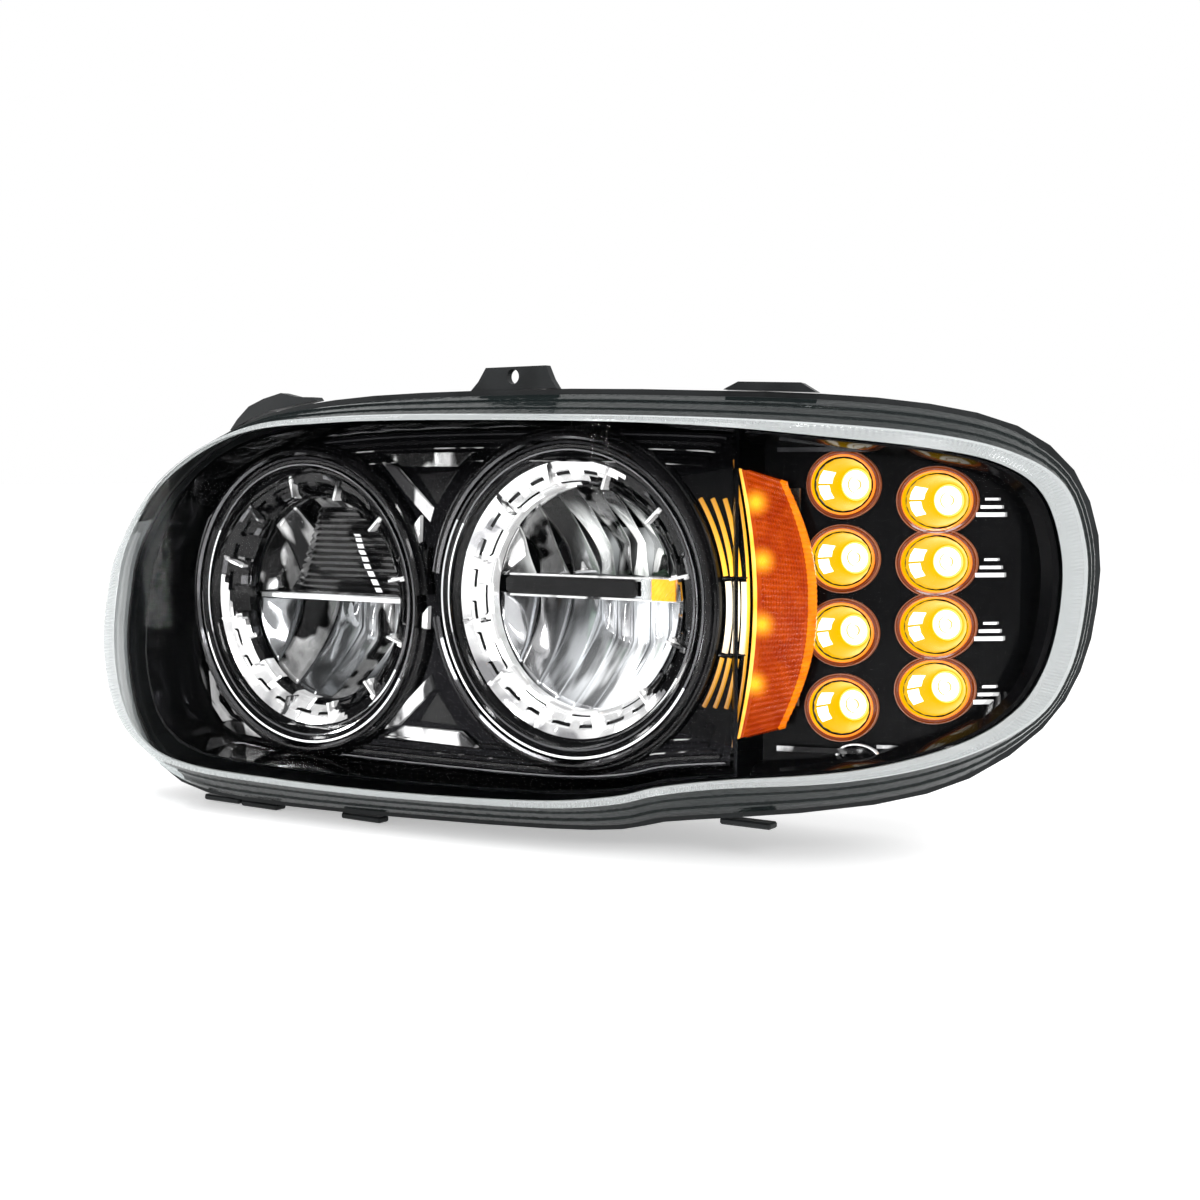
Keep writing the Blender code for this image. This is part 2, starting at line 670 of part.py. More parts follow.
def build_electrics():
    driver = box((-42, -31, 12), (42, -3.3, 72), bevel=2.5)
    as_part(driver, "driver_module", ((0.35, 0.36, 0.37), 0.45, 0.9))
    inlet = box((-170, FLANGE_Y, -73), (-130, 24, -47), bevel=2)
    neck = box((-162, -9, -66), (-138, 2, -54))
    boolean(inlet, as_cutter(neck, "inlet_neck"), "UNION")
    pocket = box((-166.5, 6, -69.5), (-133.5, 30, -50.5))
    boolean(inlet, as_cutter(pocket, "inlet_pocket"), "DIFFERENCE")
    as_part(inlet, "connector_inlet", ((0.06, 0.06, 0.06), 0.5))
    vent = turned(
        [(0.5, -6), (3.9, -6), (3.9, FLANGE_Y), (10, FLANGE_Y), (10, 5), (7, 8), (0.5, 8)],
        (150, 68),
        steps=20,
    )
    plug = disc("Y", (150, 68), 1.5, -5, 7, sides=8)
    boolean(vent, as_cutter(plug, "vent_core"), "UNION")
    as_part(vent, "vent_cap", ((0.10, 0.10, 0.10), 0.7))
    supply = lead(
        [(-150, -9.4, -60), (-150, -15, -60), (-112, -20, -20), (-75, -17, 32), (-54, -17, 40), (-42.5, -17, 40)],
        3,
    )
    as_part(supply, "supply_lead", ((0.03, 0.03, 0.03), 0.5), smooth=True)
    beams = lead([(0, -31.4, 40), (0, -38, 40), (0, -60, 22), (0, -86, 0), (0, -95.2, 0)], 2)
    as_part(beams, "beam_lead", ((0.03, 0.03, 0.03), 0.5), smooth=True)
    inner_back = lens_front(COLUMN_X[0]) + PANEL_DEPTH + CUP_BACK + BOARD_THICKNESS + 0.7
    turn = lead(
        [
            (42.5, -17, 50), (54, -17, 50), (115, -15, 66), (225, -17, 50), (264, -60, 20),
            (272, inner_back + 14, 7), (272, inner_back + 0.2, 7),
        ],
        2,
    )
    as_part(turn, "turn_lead", ((0.03, 0.03, 0.03), 0.5), smooth=True)


# ---------------------------------------------------------------- outside fixings


def build_top_tab():
    plate = [(26, 128.4), (92, 128.4), (88, 134), (84, 142.5), (38, 142.5), (32, 134)]
    tab = prism(plate, "Y", -152, -147)
    hole = disc("Y", (59, 136.5), 4.6, -160, -140, sides=24)
    for i, x in enumerate((36, 82)):
        gusset = prism([(-147.5, 128.4), (-147.5, 134), (-134, 128.4)], "X", x - 2, x + 2)
        boolean(tab, as_cutter(gusset, f"tab_gusset_{i + 1}"), "UNION")
    boolean(tab, as_cutter(hole, "tab_hole"), "DIFFERENCE")
    as_part(tab, "top_mount_tab", ((0.03, 0.03, 0.03), 0.5))


def build_fixings():
    block = [(-27.5, 125.2), (27.5, 122.8), (18.5, 128.4), (-18.5, 129.6)]
    clip = prism(block, "Y", -6, 6)
    clip.rotation_euler = (0, 0, math.radians(14))
    clip.location = Vector((225, -124.9, 0)) * MM
    as_part(clip, "top_clip_block", ((0.03, 0.03, 0.03), 0.5))
    for i, (x, y, z) in enumerate(LOWER_TABS):
        tab = box((x - 17, y - 5, z), (x + 17, y + 5, z + 4), bevel=1)
        as_part(tab, f"lower_tab_{i + 1}", ((0.03, 0.03, 0.03), 0.5))
    outline = [
        (-92, 125), (-135, 119), (-155, 113), (-172, 106.6), (-165, 114), (-154, 122.5), (-140, 127.4),
        (-124, 130.8), (-110, 127.8), (-94, 127.2),
    ]
    bracket = prism(outline, "Y", -166, -158)
    as_part(bracket, "inboard_bracket", ((0.03, 0.03, 0.03), 0.5))
    for i, (x, z) in enumerate(STUDS):
        stud = disc("Y", (x, z), 4, -4, 25, sides=16)
        head = disc("Y", (x, z), 11, -6.5, -3.3, sides=16)
        boolean(stud, as_cutter(head, f"stud_head_{i + 1}"), "UNION")
        as_part(stud, f"mounting_stud_{i + 1}", ((0.62, 0.62, 0.63), 0.3, 1.0))


LOWER_TABS = [(-150, -161, -153.6), (-60, -158, -153.1), (-186, -161, -152.9), (212, -126, -132.2)]


clear_scene()
PARTS = new_collection(COLLECTION)
CUTTERS = new_collection("cutters", hidden=True)
build_lens()
build_seal()
build_housing()
build_main_bezel()
for beam_name in BEAMS:
    build_ring(beam_name)
    build_reflectors(beam_name)
    build_divider(beam_name)
    build_heat_sink(beam_name)
build_position_light()
build_carrier()
build_pivots()
build_adjuster()
build_turn_bezel()
build_turn_lenses()
build_turn_boards()
build_reflex()
build_electrics()
build_top_tab()
build_fixings()
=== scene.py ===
"""Looks for the truck headlight assembly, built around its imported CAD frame.

Frame: +X outboard, -Y forward, +Z up. Shape numbers are millimetres and MM turns them into metres.
"""

import math

import bmesh
import bpy
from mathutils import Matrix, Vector


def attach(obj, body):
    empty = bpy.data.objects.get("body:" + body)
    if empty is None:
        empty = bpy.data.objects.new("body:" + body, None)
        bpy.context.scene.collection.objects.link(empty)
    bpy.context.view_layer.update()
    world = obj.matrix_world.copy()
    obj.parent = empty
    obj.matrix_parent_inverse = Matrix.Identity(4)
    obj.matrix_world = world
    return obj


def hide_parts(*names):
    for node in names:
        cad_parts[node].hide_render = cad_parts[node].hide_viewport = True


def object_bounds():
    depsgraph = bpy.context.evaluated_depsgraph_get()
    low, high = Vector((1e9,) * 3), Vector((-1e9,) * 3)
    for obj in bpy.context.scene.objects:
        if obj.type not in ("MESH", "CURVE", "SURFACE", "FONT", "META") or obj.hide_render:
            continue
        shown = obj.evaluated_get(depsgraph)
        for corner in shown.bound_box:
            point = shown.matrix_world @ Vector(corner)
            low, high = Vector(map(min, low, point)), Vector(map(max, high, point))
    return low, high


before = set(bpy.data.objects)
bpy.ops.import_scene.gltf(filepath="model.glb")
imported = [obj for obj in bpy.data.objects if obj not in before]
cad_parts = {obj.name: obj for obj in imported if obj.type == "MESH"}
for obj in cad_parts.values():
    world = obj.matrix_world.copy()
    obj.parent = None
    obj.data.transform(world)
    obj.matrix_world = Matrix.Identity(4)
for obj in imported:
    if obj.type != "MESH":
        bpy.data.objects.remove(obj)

CAD_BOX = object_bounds()
MM = 0.001
PULL = math.radians(24)

BAND_EDGE = [
    (-249, -43), (-244, -2), (-233, 29), (-203, 68), (-161, 92.5), (-113, 105), (-60, 108.4), (6, 109.4),
    (120, 107.4), (205, 103.4), (270, 97), (325, 90), (356, 81.5), (374, 65), (382, 34), (382, 0),
    (376, -33), (363, -57), (337, -75), (290, -89), (220, -98), (180, -105), (150, -113),
    (100, -119.4), (0, -123), (-100, -123), (-178, -120), (-219, -108.5), (-241, -82),
]
FRONT_EDGE = [
    (-262, -45), (-256, -5), (-244, 25), (-210, 65), (-166, 92), (-115, 108), (-60, 112), (6, 113),
    (120, 111), (205, 108), (270, 104), (325, 98), (361, 88), (383, 70), (392, 36), (392, 0),
    (386, -36), (372, -62), (340, -82), (290, -95), (220, -103), (180, -110), (150, -118),
    (100, -124), (0, -127), (-100, -127), (-180, -124), (-225, -112), (-252, -86),
]
FLANGE_EDGE = [
    (-262, -50), (-257, -8), (-246, 26), (-214, 66), (-170, 96), (-118, 114), (-60, 122), (10, 125),
    (117, 125), (205, 122), (270, 119), (325, 113), (364, 101), (387, 77), (397, 40), (397, 0),
    (391, -38), (376, -70), (345, -97), (300, -112), (220, -124), (178, -130), (150, -137),
    (100, -141), (0, -144), (-100, -146), (-180, -144), (-225, -130), (-252, -98),
]
BEZEL_EDGE = [
    (222, 103), (205, 104.5), (120, 107.5), (6, 108), (-60, 106), (-112, 101), (-157, 86), (-190, 62),
    (-214, 25), (-224, -5), (-229, -45), (-224, -75), (-210, -98), (-175, -113), (-100, -117),
    (0, -117), (100, -115), (150, -109), (180, -101), (222, -95),
]
LENS_MIDDLE = (65, -8)
BEZEL_MIDDLE = (0, -7)
BEZEL_FACE_Y = -158
BEAMS = {"high_beam": (-107, -8), "low_beam": (107, 0)}
DIVIDERS = {"high_beam": (-8, 4), "low_beam": (6.5, 9)}
PANEL_DEPTH, CUP_BACK = 30, 20
COLUMN_X = (272, 319)
COLUMN_Z = ((70, 28, -14, -57), (61, 26, -10, -46))

WINDOW_R = 73.4  # mouth of each reflector
STAIR_R = 66  # outboard end of the high beam's staircase
COLLAR_R = 107.6  # outside of the collars round the trim rings
BAR_BACK_Y = -131.5  # back of the trim on the two bars
REFLECTOR_FRONT_Y = -132.6  # foremost point of a reflector
MARKER_Z, MARKER_HALF = 2, 76  # middle and half height of the side marker
MARKER_DEPTH = 11  # side marker's face behind the lens's outer face
LENS_THICK = 2.8
WALL_DEPTH, FLANGE_DEPTH = 4, 36  # the lens's side wall runs between these depths
EMITTER_SIDES = 32
EVERYWHERE = 5000  # glow radius that covers a whole piece evenly
ON_CARRIER = {"body": "carrier", "slot": "bright_chrome"}


# ---------------------------------------------------------------- materials


def new_material(name):
    made = bpy.data.materials.new(name)
    made.use_nodes = True
    nodes = made.node_tree.nodes
    return made, nodes, made.node_tree.links, nodes["Principled BSDF"]


def noise(nodes, links, scale, detail=3.0, stretch=(1, 1, 1)):
    """Noise in the object's own metres. scale is in cells to the metre."""
    coords = nodes.new("ShaderNodeTexCoord")
    mapping = nodes.new("ShaderNodeMapping")
    mapping.inputs["Scale"].default_value = stretch
    texture = nodes.new("ShaderNodeTexNoise")
    texture.inputs["Scale"].default_value = scale
    texture.inputs["Detail"].default_value = detail
    links.new(coords.outputs["Object"], mapping.inputs["Vector"])
    links.new(mapping.outputs["Vector"], texture.inputs["Vector"])
    return texture.outputs["Fac"]


def ranged(nodes, links, value, low, high, start=0.3, end=0.7):
    spread = nodes.new("ShaderNodeMapRange")
    spread.inputs["From Min"].default_value = start
    spread.inputs["From Max"].default_value = end
    spread.inputs["To Min"].default_value = low
    spread.inputs["To Max"].default_value = high
    links.new(value, spread.inputs["Value"])
    return spread.outputs["Result"]


def blended(nodes, links, factor, first, second):
    mix = nodes.new("ShaderNodeMix")
    mix.data_type = "RGBA"
    mix.inputs["A"].default_value = (*first, 1)
    mix.inputs["B"].default_value = (*second, 1)
    links.new(factor, mix.inputs["Factor"])
    return mix.outputs["Result"]


def bump(nodes, links, shader, height, distance, strength=1.0):
    node = nodes.new("ShaderNodeBump")
    node.inputs["Distance"].default_value = distance
    node.inputs["Strength"].default_value = strength
    links.new(height, node.inputs["Height"])
    links.new(node.outputs["Normal"], shader.inputs["Normal"])


def surface(name, colour, worn, rough, metallic=0.0, grain=900, depth=0.00004, coat=0.0, patch=35,
            shine=0.5):
    """Moulded, plated or cast surface: two tones in soft patches, uneven gloss and a fine grain."""
    made, nodes, links, shader = new_material(name)
    patches = noise(nodes, links, patch, 4)
    wear = ranged(nodes, links, patches, 0, 1)
    links.new(blended(nodes, links, wear, colour, worn), shader.inputs["Base Color"])
    links.new(ranged(nodes, links, patches, rough * 0.8, rough * 1.25), shader.inputs["Roughness"])
    shader.inputs["Metallic"].default_value = metallic
    shader.inputs["Coat Weight"].default_value = coat
    shader.inputs["Coat Roughness"].default_value = 0.05
    shader.inputs["Specular IOR Level"].default_value = shine
    bump(nodes, links, shader, noise(nodes, links, grain, 5), depth, 0.5)
    return made


def clear(name, tint, thin, thick, rough=0.03, power=3.0, ripple=0.0, shine=0.8):
    """Clear plastic: nearly absent face on, and stronger where it is seen edge on."""
    made, nodes, links, shader = new_material(name)
    weight = nodes.new("ShaderNodeLayerWeight")
    weight.inputs["Blend"].default_value = 0.5
    curve = nodes.new("ShaderNodeMath")
    curve.operation = "POWER"
    curve.inputs[1].default_value = power
    links.new(weight.outputs["Facing"], curve.inputs[0])
    links.new(ranged(nodes, links, curve.outputs[0], thin, thick, 0, 1), shader.inputs["Alpha"])
    haze = noise(nodes, links, 60, 3)
    links.new(blended(nodes, links, haze, tint, [c * 0.92 for c in tint]), shader.inputs["Base Color"])
    shader.inputs["Roughness"].default_value = rough
    shader.inputs["Specular IOR Level"].default_value = shine
    if ripple:
        bump(nodes, links, shader, noise(nodes, links, 240, 2), ripple, 0.6)
    return made


def glowing(name, colour, hot, strength, centre, radius, base=(0.6, 0.6, 0.6), rough=0.1, metallic=0.9,
            grain=400, streak=None):
    """Surface that glows by emission, for the lamps' own emitters and as painted light on reflectors, liners,
    rims and bars: the glow is hottest at centre (mm) and fades to nothing at radius (mm).
    """
    made, nodes, links, shader = new_material(name)
    coords = nodes.new("ShaderNodeTexCoord")
    distance = nodes.new("ShaderNodeVectorMath")
    distance.operation = "DISTANCE"
    distance.inputs[1].default_value = Vector(centre) * MM
    links.new(coords.outputs["Object"], distance.inputs[0])
    near = ranged(nodes, links, distance.outputs["Value"], 1, 0, 0, radius * MM)
    shaped = nodes.new("ShaderNodeMath")
    shaped.operation = "POWER"
    shaped.inputs[1].default_value = 1.7
    links.new(near, shaped.inputs[0])
    links.new(blended(nodes, links, near, colour, hot), shader.inputs["Emission Color"])
    power = ranged(nodes, links, shaped.outputs[0], 0, strength, 0, 1)
    if streak:
        lines = ranged(nodes, links, noise(nodes, links, streak, 2, (1, 0.15, 0.2)), 0.2, 1.25, 0.4, 0.62)
        product = nodes.new("ShaderNodeMath")
        product.operation = "MULTIPLY"
        links.new(power, product.inputs[0])
        links.new(lines, product.inputs[1])
        power = product.outputs[0]
    links.new(power, shader.inputs["Emission Strength"])
    patches = noise(nodes, links, 90, 3)
    links.new(blended(nodes, links, patches, base, [c * 0.8 for c in base]), shader.inputs["Base Color"])
    shader.inputs["Metallic"].default_value = metallic
    links.new(ranged(nodes, links, patches, rough * 0.7, rough * 1.3), shader.inputs["Roughness"])
    bump(nodes, links, shader, noise(nodes, links, grain, 3), 0.00003, 0.12)
    return made


def painted_reflection(name, dark, light, scale, stretch=(1, 1, 1), glow=0.0, share=0.5):
    """Bright plating with a painted reflection: a room painted into its colour as broken light and dark
    shapes, and the same shapes given off as a faint painted glow.
    """
    made, nodes, links, shader = new_material(name)
    shapes = noise(nodes, links, scale, 1.5, stretch)
    split = ranged(nodes, links, shapes, 0, 1, share - 0.05, share + 0.04)
    speckle = 0.35 if stretch[1] > 0.5 else 0.15
    fine = ranged(nodes, links, noise(nodes, links, scale * 3, 2, stretch), 0, speckle)
    tone = nodes.new("ShaderNodeMath")
    tone.operation = "SUBTRACT"
    tone.use_clamp = True
    links.new(split, tone.inputs[0])
    links.new(fine, tone.inputs[1])
    colour = blended(nodes, links, tone.outputs[0], (dark, dark, dark * 1.03), (light, light, light))
    links.new(colour, shader.inputs["Base Color"])
    links.new(colour, shader.inputs["Emission Color"])
    shader.inputs["Emission Strength"].default_value = glow
    shader.inputs["Metallic"].default_value = 0.75
    links.new(ranged(nodes, links, shapes, 0.10, 0.22), shader.inputs["Roughness"])
    bump(nodes, links, shader, shapes, 0.0006, 0.5)
    return made


def marker_amber(name, deep, pale, strength):
    """Lit amber plastic with a round hot spot in front of each of the marker's four lamps."""
    made, nodes, links, shader = new_material(name)
    coords = nodes.new("ShaderNodeTexCoord")
    nearest = None
    for x, z in ((232, 60), (236, 27), (236, -9), (232, -43)):
        distance = nodes.new("ShaderNodeVectorMath")
        distance.operation = "DISTANCE"
        distance.inputs[1].default_value = Vector((x, lens_front(x) + MARKER_DEPTH, z)) * MM
        links.new(coords.outputs["Object"], distance.inputs[0])
        if nearest is None:
            nearest = distance.outputs["Value"]
            continue
        least = nodes.new("ShaderNodeMath")
        least.operation = "MINIMUM"
        links.new(nearest, least.inputs[0])
        links.new(distance.outputs["Value"], least.inputs[1])
        nearest = least.outputs[0]
    spot = ranged(nodes, links, nearest, 1, 0, 0.0015, 0.010)
    patches = noise(nodes, links, 120, 3)
    tone = nodes.new("ShaderNodeMath")
    tone.operation = "MAXIMUM"
    links.new(ranged(nodes, links, patches, 0, 0.6), tone.inputs[0])
    links.new(spot, tone.inputs[1])
    links.new(blended(nodes, links, tone.outputs[0], deep, pale), shader.inputs["Base Color"])
    links.new(blended(nodes, links, spot, deep, (1.0, 0.62, 0.03)), shader.inputs["Emission Color"])
    links.new(ranged(nodes, links, spot, strength, 1.1, 0, 1), shader.inputs["Emission Strength"])
    links.new(ranged(nodes, links, patches, 0.10, 0.2), shader.inputs["Roughness"])
    shader.inputs["Specular IOR Level"].default_value = 0.12
    bump(nodes, links, shader, noise(nodes, links, 700, 3), 0.00008, 0.5)
    return made


HOUSING = surface("housing_plastic", (0.007, 0.008, 0.0085), (0.016, 0.018, 0.019), 0.42,
                  grain=1600, depth=0.00008, shine=0.16)
BLACK_GLOSS = surface("black_gloss", (0.0015, 0.0015, 0.0018), (0.003, 0.003, 0.0033), 0.07,
                      grain=120, depth=0.00001, shine=0.2)
BLACK_GLOSS.node_tree.nodes["Principled BSDF"].inputs["Specular IOR Level"].default_value = 0.3
PANEL_BLACK = surface("panel_black", (0.0015, 0.0015, 0.0018), (0.003, 0.003, 0.0033), 0.09,
                      grain=120, depth=0.00001, shine=0.06)
DARK_CHROME = surface("look_dark_chrome", (0.006, 0.006, 0.007), (0.012, 0.012, 0.013), 0.07,
                      metallic=1.0, grain=260, depth=0.00005)
DARK_CHROME.node_tree.nodes["Principled BSDF"].inputs["Specular IOR Level"].default_value = 0.3
SMOKE_CHROME = surface("smoke_chrome", (0.10, 0.10, 0.105), (0.15, 0.15, 0.155), 0.07,
                       metallic=1.0, grain=200, depth=0.0001)
CHROME = surface("look_bright_chrome", (0.90, 0.91, 0.92), (0.84, 0.85, 0.86), 0.05, metallic=1.0,
                 grain=160, depth=0.00008)
STEEL = surface("look_plated_steel", (0.60, 0.60, 0.61), (0.45, 0.45, 0.47), 0.30, metallic=1.0,
                grain=1800, depth=0.00005)
ALUMINIUM = surface("look_cast_aluminium", (0.42, 0.43, 0.44), (0.30, 0.31, 0.32), 0.45,
                    metallic=1.0, grain=900, depth=0.00012)
BOARD = surface("circuit_board", (0.015, 0.09, 0.035), (0.03, 0.13, 0.05), 0.35, grain=300,
                depth=0.0001, coat=0.4)
BLACK_BOARD = surface("black_board", (0.003, 0.005, 0.004), (0.006, 0.009, 0.007), 0.3, grain=300,
                      depth=0.0001)
NYLON = surface("look_natural_nylon", (0.78, 0.77, 0.72), (0.70, 0.69, 0.63), 0.45, grain=700)
RUBBER = surface("black_rubber", (0.010, 0.010, 0.011), (0.02, 0.02, 0.021), 0.7, grain=1400,
                 depth=0.0001)
# painted reflection: the plating looks below carry a painted reflection in their colour and a faint painted
# glow; the first one is a painted highlight for rib edges
RIB_HIGHLIGHT = painted_reflection("rib_painted_highlight", 0.03, 0.30, 90, (0.4, 1, 1), 0.25, 0.45)
PAINTED_MIRROR = painted_reflection("plating_painted_reflection", 0.04, 0.95, 42, (1, 1, 0.6), 0.30, 0.43)
PAINTED_MIRROR_DIM = painted_reflection("plating_painted_reflection_dim", 0.006, 0.50, 60, (1, 1, 0.5), 0.16, 0.52)
PAINTED_MIRROR_TALL = painted_reflection("plating_painted_reflection_tall", 0.05, 0.9, 95, (1, 0.15, 0.2), 0.35, 0.46)
PAINTED_MIRROR_BAND = painted_reflection("plating_painted_reflection_band", 0.35, 0.95, 30, (1, 1, 1), 0.42, 0.36)
LENS_CLEAR = clear("lens_clear", (0.03, 0.035, 0.035), 0.004, 0.35, power=3.5)
# painted highlight: the clear fluted band is tinted near white and made mostly opaque, standing in for the
# light its flutes catch from above
LENS_BAND_PAINTED_HIGHLIGHT = clear("lens_fluted_band", (0.62, 0.65, 0.65), 0.35, 0.85, rough=0.12, power=1.5)
LENS_WALL = clear("lens_side_wall", (0.010, 0.014, 0.014), 0.62, 0.96, rough=0.10, power=1.0,
                  ripple=0.0005, shine=0.14)
# painted highlight: pale copy of the clear side wall look
LENS_PALE_HIGHLIGHT = clear("lens_wall_painted_highlight", (0.55, 0.60, 0.60), 0.35, 0.75, rough=0.10, power=1.2, ripple=0.0003)


# ---------------------------------------------------------------- shapes


def lens_front(x):
    if x < 225:
        return -205 + (x + 200) ** 2 / 5000
    return 87.5 - math.sqrt(260**2 - (x - 181.6) ** 2)


def smooth_curve(points, steps, closed=True):
    count = len(points)
    result = []
    for i in range(count if closed else count - 1):
        picks = [i - 1, i, i + 1, i + 2]
        four = [points[k % count] if closed else points[min(max(k, 0), count - 1)] for k in picks]
        a, b, c, d = (Vector(p) for p in four)
        for j in range(steps):
            t = j / steps
            cubic = (3 * (b - c) + d - a) * t + (2 * a - 5 * b + 4 * c - d)
            result.append(0.5 * ((cubic * t + (c - a)) * t + 2 * b))
    if not closed:
        result.append(Vector(points[-1]))
    return result


def behind_lens(outline, depth):
    back_x, back_y = -depth * math.sin(PULL), depth * math.cos(PULL)
    return [(p.x + back_x, lens_front(p.x) + back_y, p.y) for p in outline]


def scaled(outline, centre, share_x, share_z):
    return [
        Vector((centre[0] + (p.x - centre[0]) * share_x, centre[1] + (p.y - centre[1]) * share_z))
        for p in outline
    ]


def between(first, second, share):
    return [a.lerp(b, share) for a, b in zip(first, second)]


def grown(outline, amount):
    count = len(outline)
    area = sum(
        outline[i].x * outline[(i + 1) % count].y - outline[(i + 1) % count].x * outline[i].y
        for i in range(count)
    )
    side = 1 if area > 0 else -1
    moved = []
    for i, point in enumerate(outline):
        along = (outline[(i + 1) % count] - outline[i - 1]).normalized()
        moved.append(point + Vector((along.y, -along.x)) * amount * side)
    return moved


def piece(name, vertices, faces, materials, body="housing", slot=None, smooth=True, replaces=(), picks=None,
          sharp=35):
    """One finished piece from points in millimetres, riding on its body."""
    data = bpy.data.meshes.new(name)
    data.from_pydata([Vector(v) * MM for v in vertices], [], faces)
    build = bmesh.new()
    build.from_mesh(data)
    bmesh.ops.recalc_face_normals(build, faces=build.faces)
    build.to_mesh(data)
    build.free()
    obj = bpy.data.objects.new(name, data)
    bpy.context.scene.collection.objects.link(obj)
    for material in materials if isinstance(materials, (list, tuple)) else [materials]:
        data.materials.append(material)
    for i, face in enumerate(data.polygons):
        face.use_smooth = smooth
        if picks:
            face.material_index = picks[i]
    if smooth:
        data.set_sharp_from_angle(angle=math.radians(sharp))
    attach(obj, body)
    if replaces:
        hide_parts(*replaces)
    return obj


def rings(rows, wrap=False, caps=False, closed=True):
    """Vertices and faces through rows of points."""
    count = len(rows[0])
    vertices = [p for row in rows for p in row]
    faces = []
    for k in range(len(rows) if wrap else len(rows) - 1):
        low, high = k * count, ((k + 1) % len(rows)) * count
        for i in range(count if closed else count - 1):
            j = (i + 1) % count
            faces.append((low + i, low + j, high + j, high + i))
    if caps:
        last = (len(rows) - 1) * count
        faces.append(tuple(range(count)))
        faces.append(tuple(last + i for i in range(count)))
    return vertices, faces


def sheet_faces(rows, columns):
    """Faces of a sheet whose points are laid out row by row."""
    return [
        (a, a + 1, a + columns + 2, a + columns + 1)
        for row in range(rows)
        for a in range(row * (columns + 1), row * (columns + 1) + columns)
    ]


def end_faces(rows):
    """The two faces that close an open run of wrapped rows."""
    count = len(rows[0])
    return [tuple(k * count + i for k in range(len(rows))) for i in (0, count - 1)]


def thicken(obj, amount, offset=-1):
    wall = obj.modifiers.new("wall", "SOLIDIFY")
    wall.thickness = amount * MM
    wall.offset = offset
    return obj


def rounded(obj, width, segments=2):
    edge = obj.modifiers.new("rounding", "BEVEL")
    edge.width = width * MM
    edge.segments = segments
    edge.limit_method = "ANGLE"
    return obj


def slab(name, outline, low_y, high_y, material, bevel=0.0, **options):
    """Flat outline in X and Z, carried from low_y to high_y."""
    vertices, faces = rings([[(a, y, b) for a, b in outline] for y in (low_y, high_y)], caps=True)
    obj = piece(name, vertices, faces, material, **options)
    return rounded(obj, bevel) if bevel else obj


# ---------------------------------------------------------------- camera, light, stage


def studio():
    scene = bpy.context.scene
    scene.view_settings.view_transform = "Standard"
    azimuth, elevation, distance = math.radians(33.5), math.radians(4.0), 1.030
    target = Vector((0.129, -0.160, 0.001))
    back = Vector(
        (
            math.sin(azimuth) * math.cos(elevation),
            -math.cos(azimuth) * math.cos(elevation),
            math.sin(elevation),
        )
    )
    camera = bpy.data.objects.new("camera", bpy.data.cameras.new("camera"))
    camera.data.lens = 51.66
    camera.data.sensor_width = 36
    camera.data.clip_start = 0.01
    camera.location = target + back * distance
    camera.rotation_euler = back.to_track_quat("Z", "Y").to_euler()
    scene.collection.objects.link(camera)
    scene.camera = camera

    world = bpy.data.worlds.new("studio")
    world.use_nodes = True
    nodes, links = world.node_tree.nodes, world.node_tree.links
    coords = nodes.new("ShaderNodeTexCoord")
    flag = nodes.new("ShaderNodeVectorMath")
    flag.operation = "DOT_PRODUCT"
    flag.inputs[1].default_value = Vector((-0.62, -0.76, 0.12)).normalized()
    links.new(coords.outputs["Generated"], flag.inputs[0])
    shade = ranged(nodes, links, flag.outputs["Value"], 0, 1, 0.30, 0.72)
    sky = blended(nodes, links, shade, (1.0, 1.0, 1.0), (0.16, 0.16, 0.165))
    links.new(sky, nodes["Background"].inputs["Color"])
    scene.world = world

    for name, aim, place, size, power in (
        ("key", (0.1, -0.15, 0), (1.15, -0.95, 0.75), (0.6, 0.6), 14),
        ("top", (0.05, -0.1, 0), (-0.1, -0.5, 1.5), (1.4, 0.35), 16),
        ("left", (-0.1, -0.15, 0), (-1.25, -1.15, 0.30), (0.07, 1.1), 7),
        ("front", (0.1, -0.15, 0), (-0.35, -1.7, 0.35), (0.05, 0.9), 4),
    ):
        light = bpy.data.objects.new(name, bpy.data.lights.new(name, "AREA"))
        light.data.shape = "RECTANGLE"
        light.data.size, light.data.size_y = size
        light.data.energy = power
        light.location = place
        light.rotation_euler = (Vector(place) - Vector(aim)).to_track_quat("Z", "Y").to_euler()
        scene.collection.objects.link(light)

    low = CAD_BOX[0][2] / MM - 0.5
    reach = 60000
    corners = [(-reach, -reach, low), (reach, -reach, low), (reach, reach, low), (-reach, reach, low)]
    data = bpy.data.meshes.new("floor")
    data.from_pydata([Vector(c) * MM for c in corners], [], [(0, 1, 2, 3)])
    floor = bpy.data.objects.new("floor", data)
    scene.collection.objects.link(floor)
    paper = surface("floor_paper", (0.88, 0.88, 0.88), (0.86, 0.86, 0.86), 0.9, grain=30, depth=0.0001,
                    patch=3)
    shader = paper.node_tree.nodes["Principled BSDF"]
    shader.inputs["Emission Color"].default_value = (1, 1, 1, 1)
    shader.inputs["Emission Strength"].default_value = 0.42
    data.materials.append(paper)


# ---------------------------------------------------------------- lens


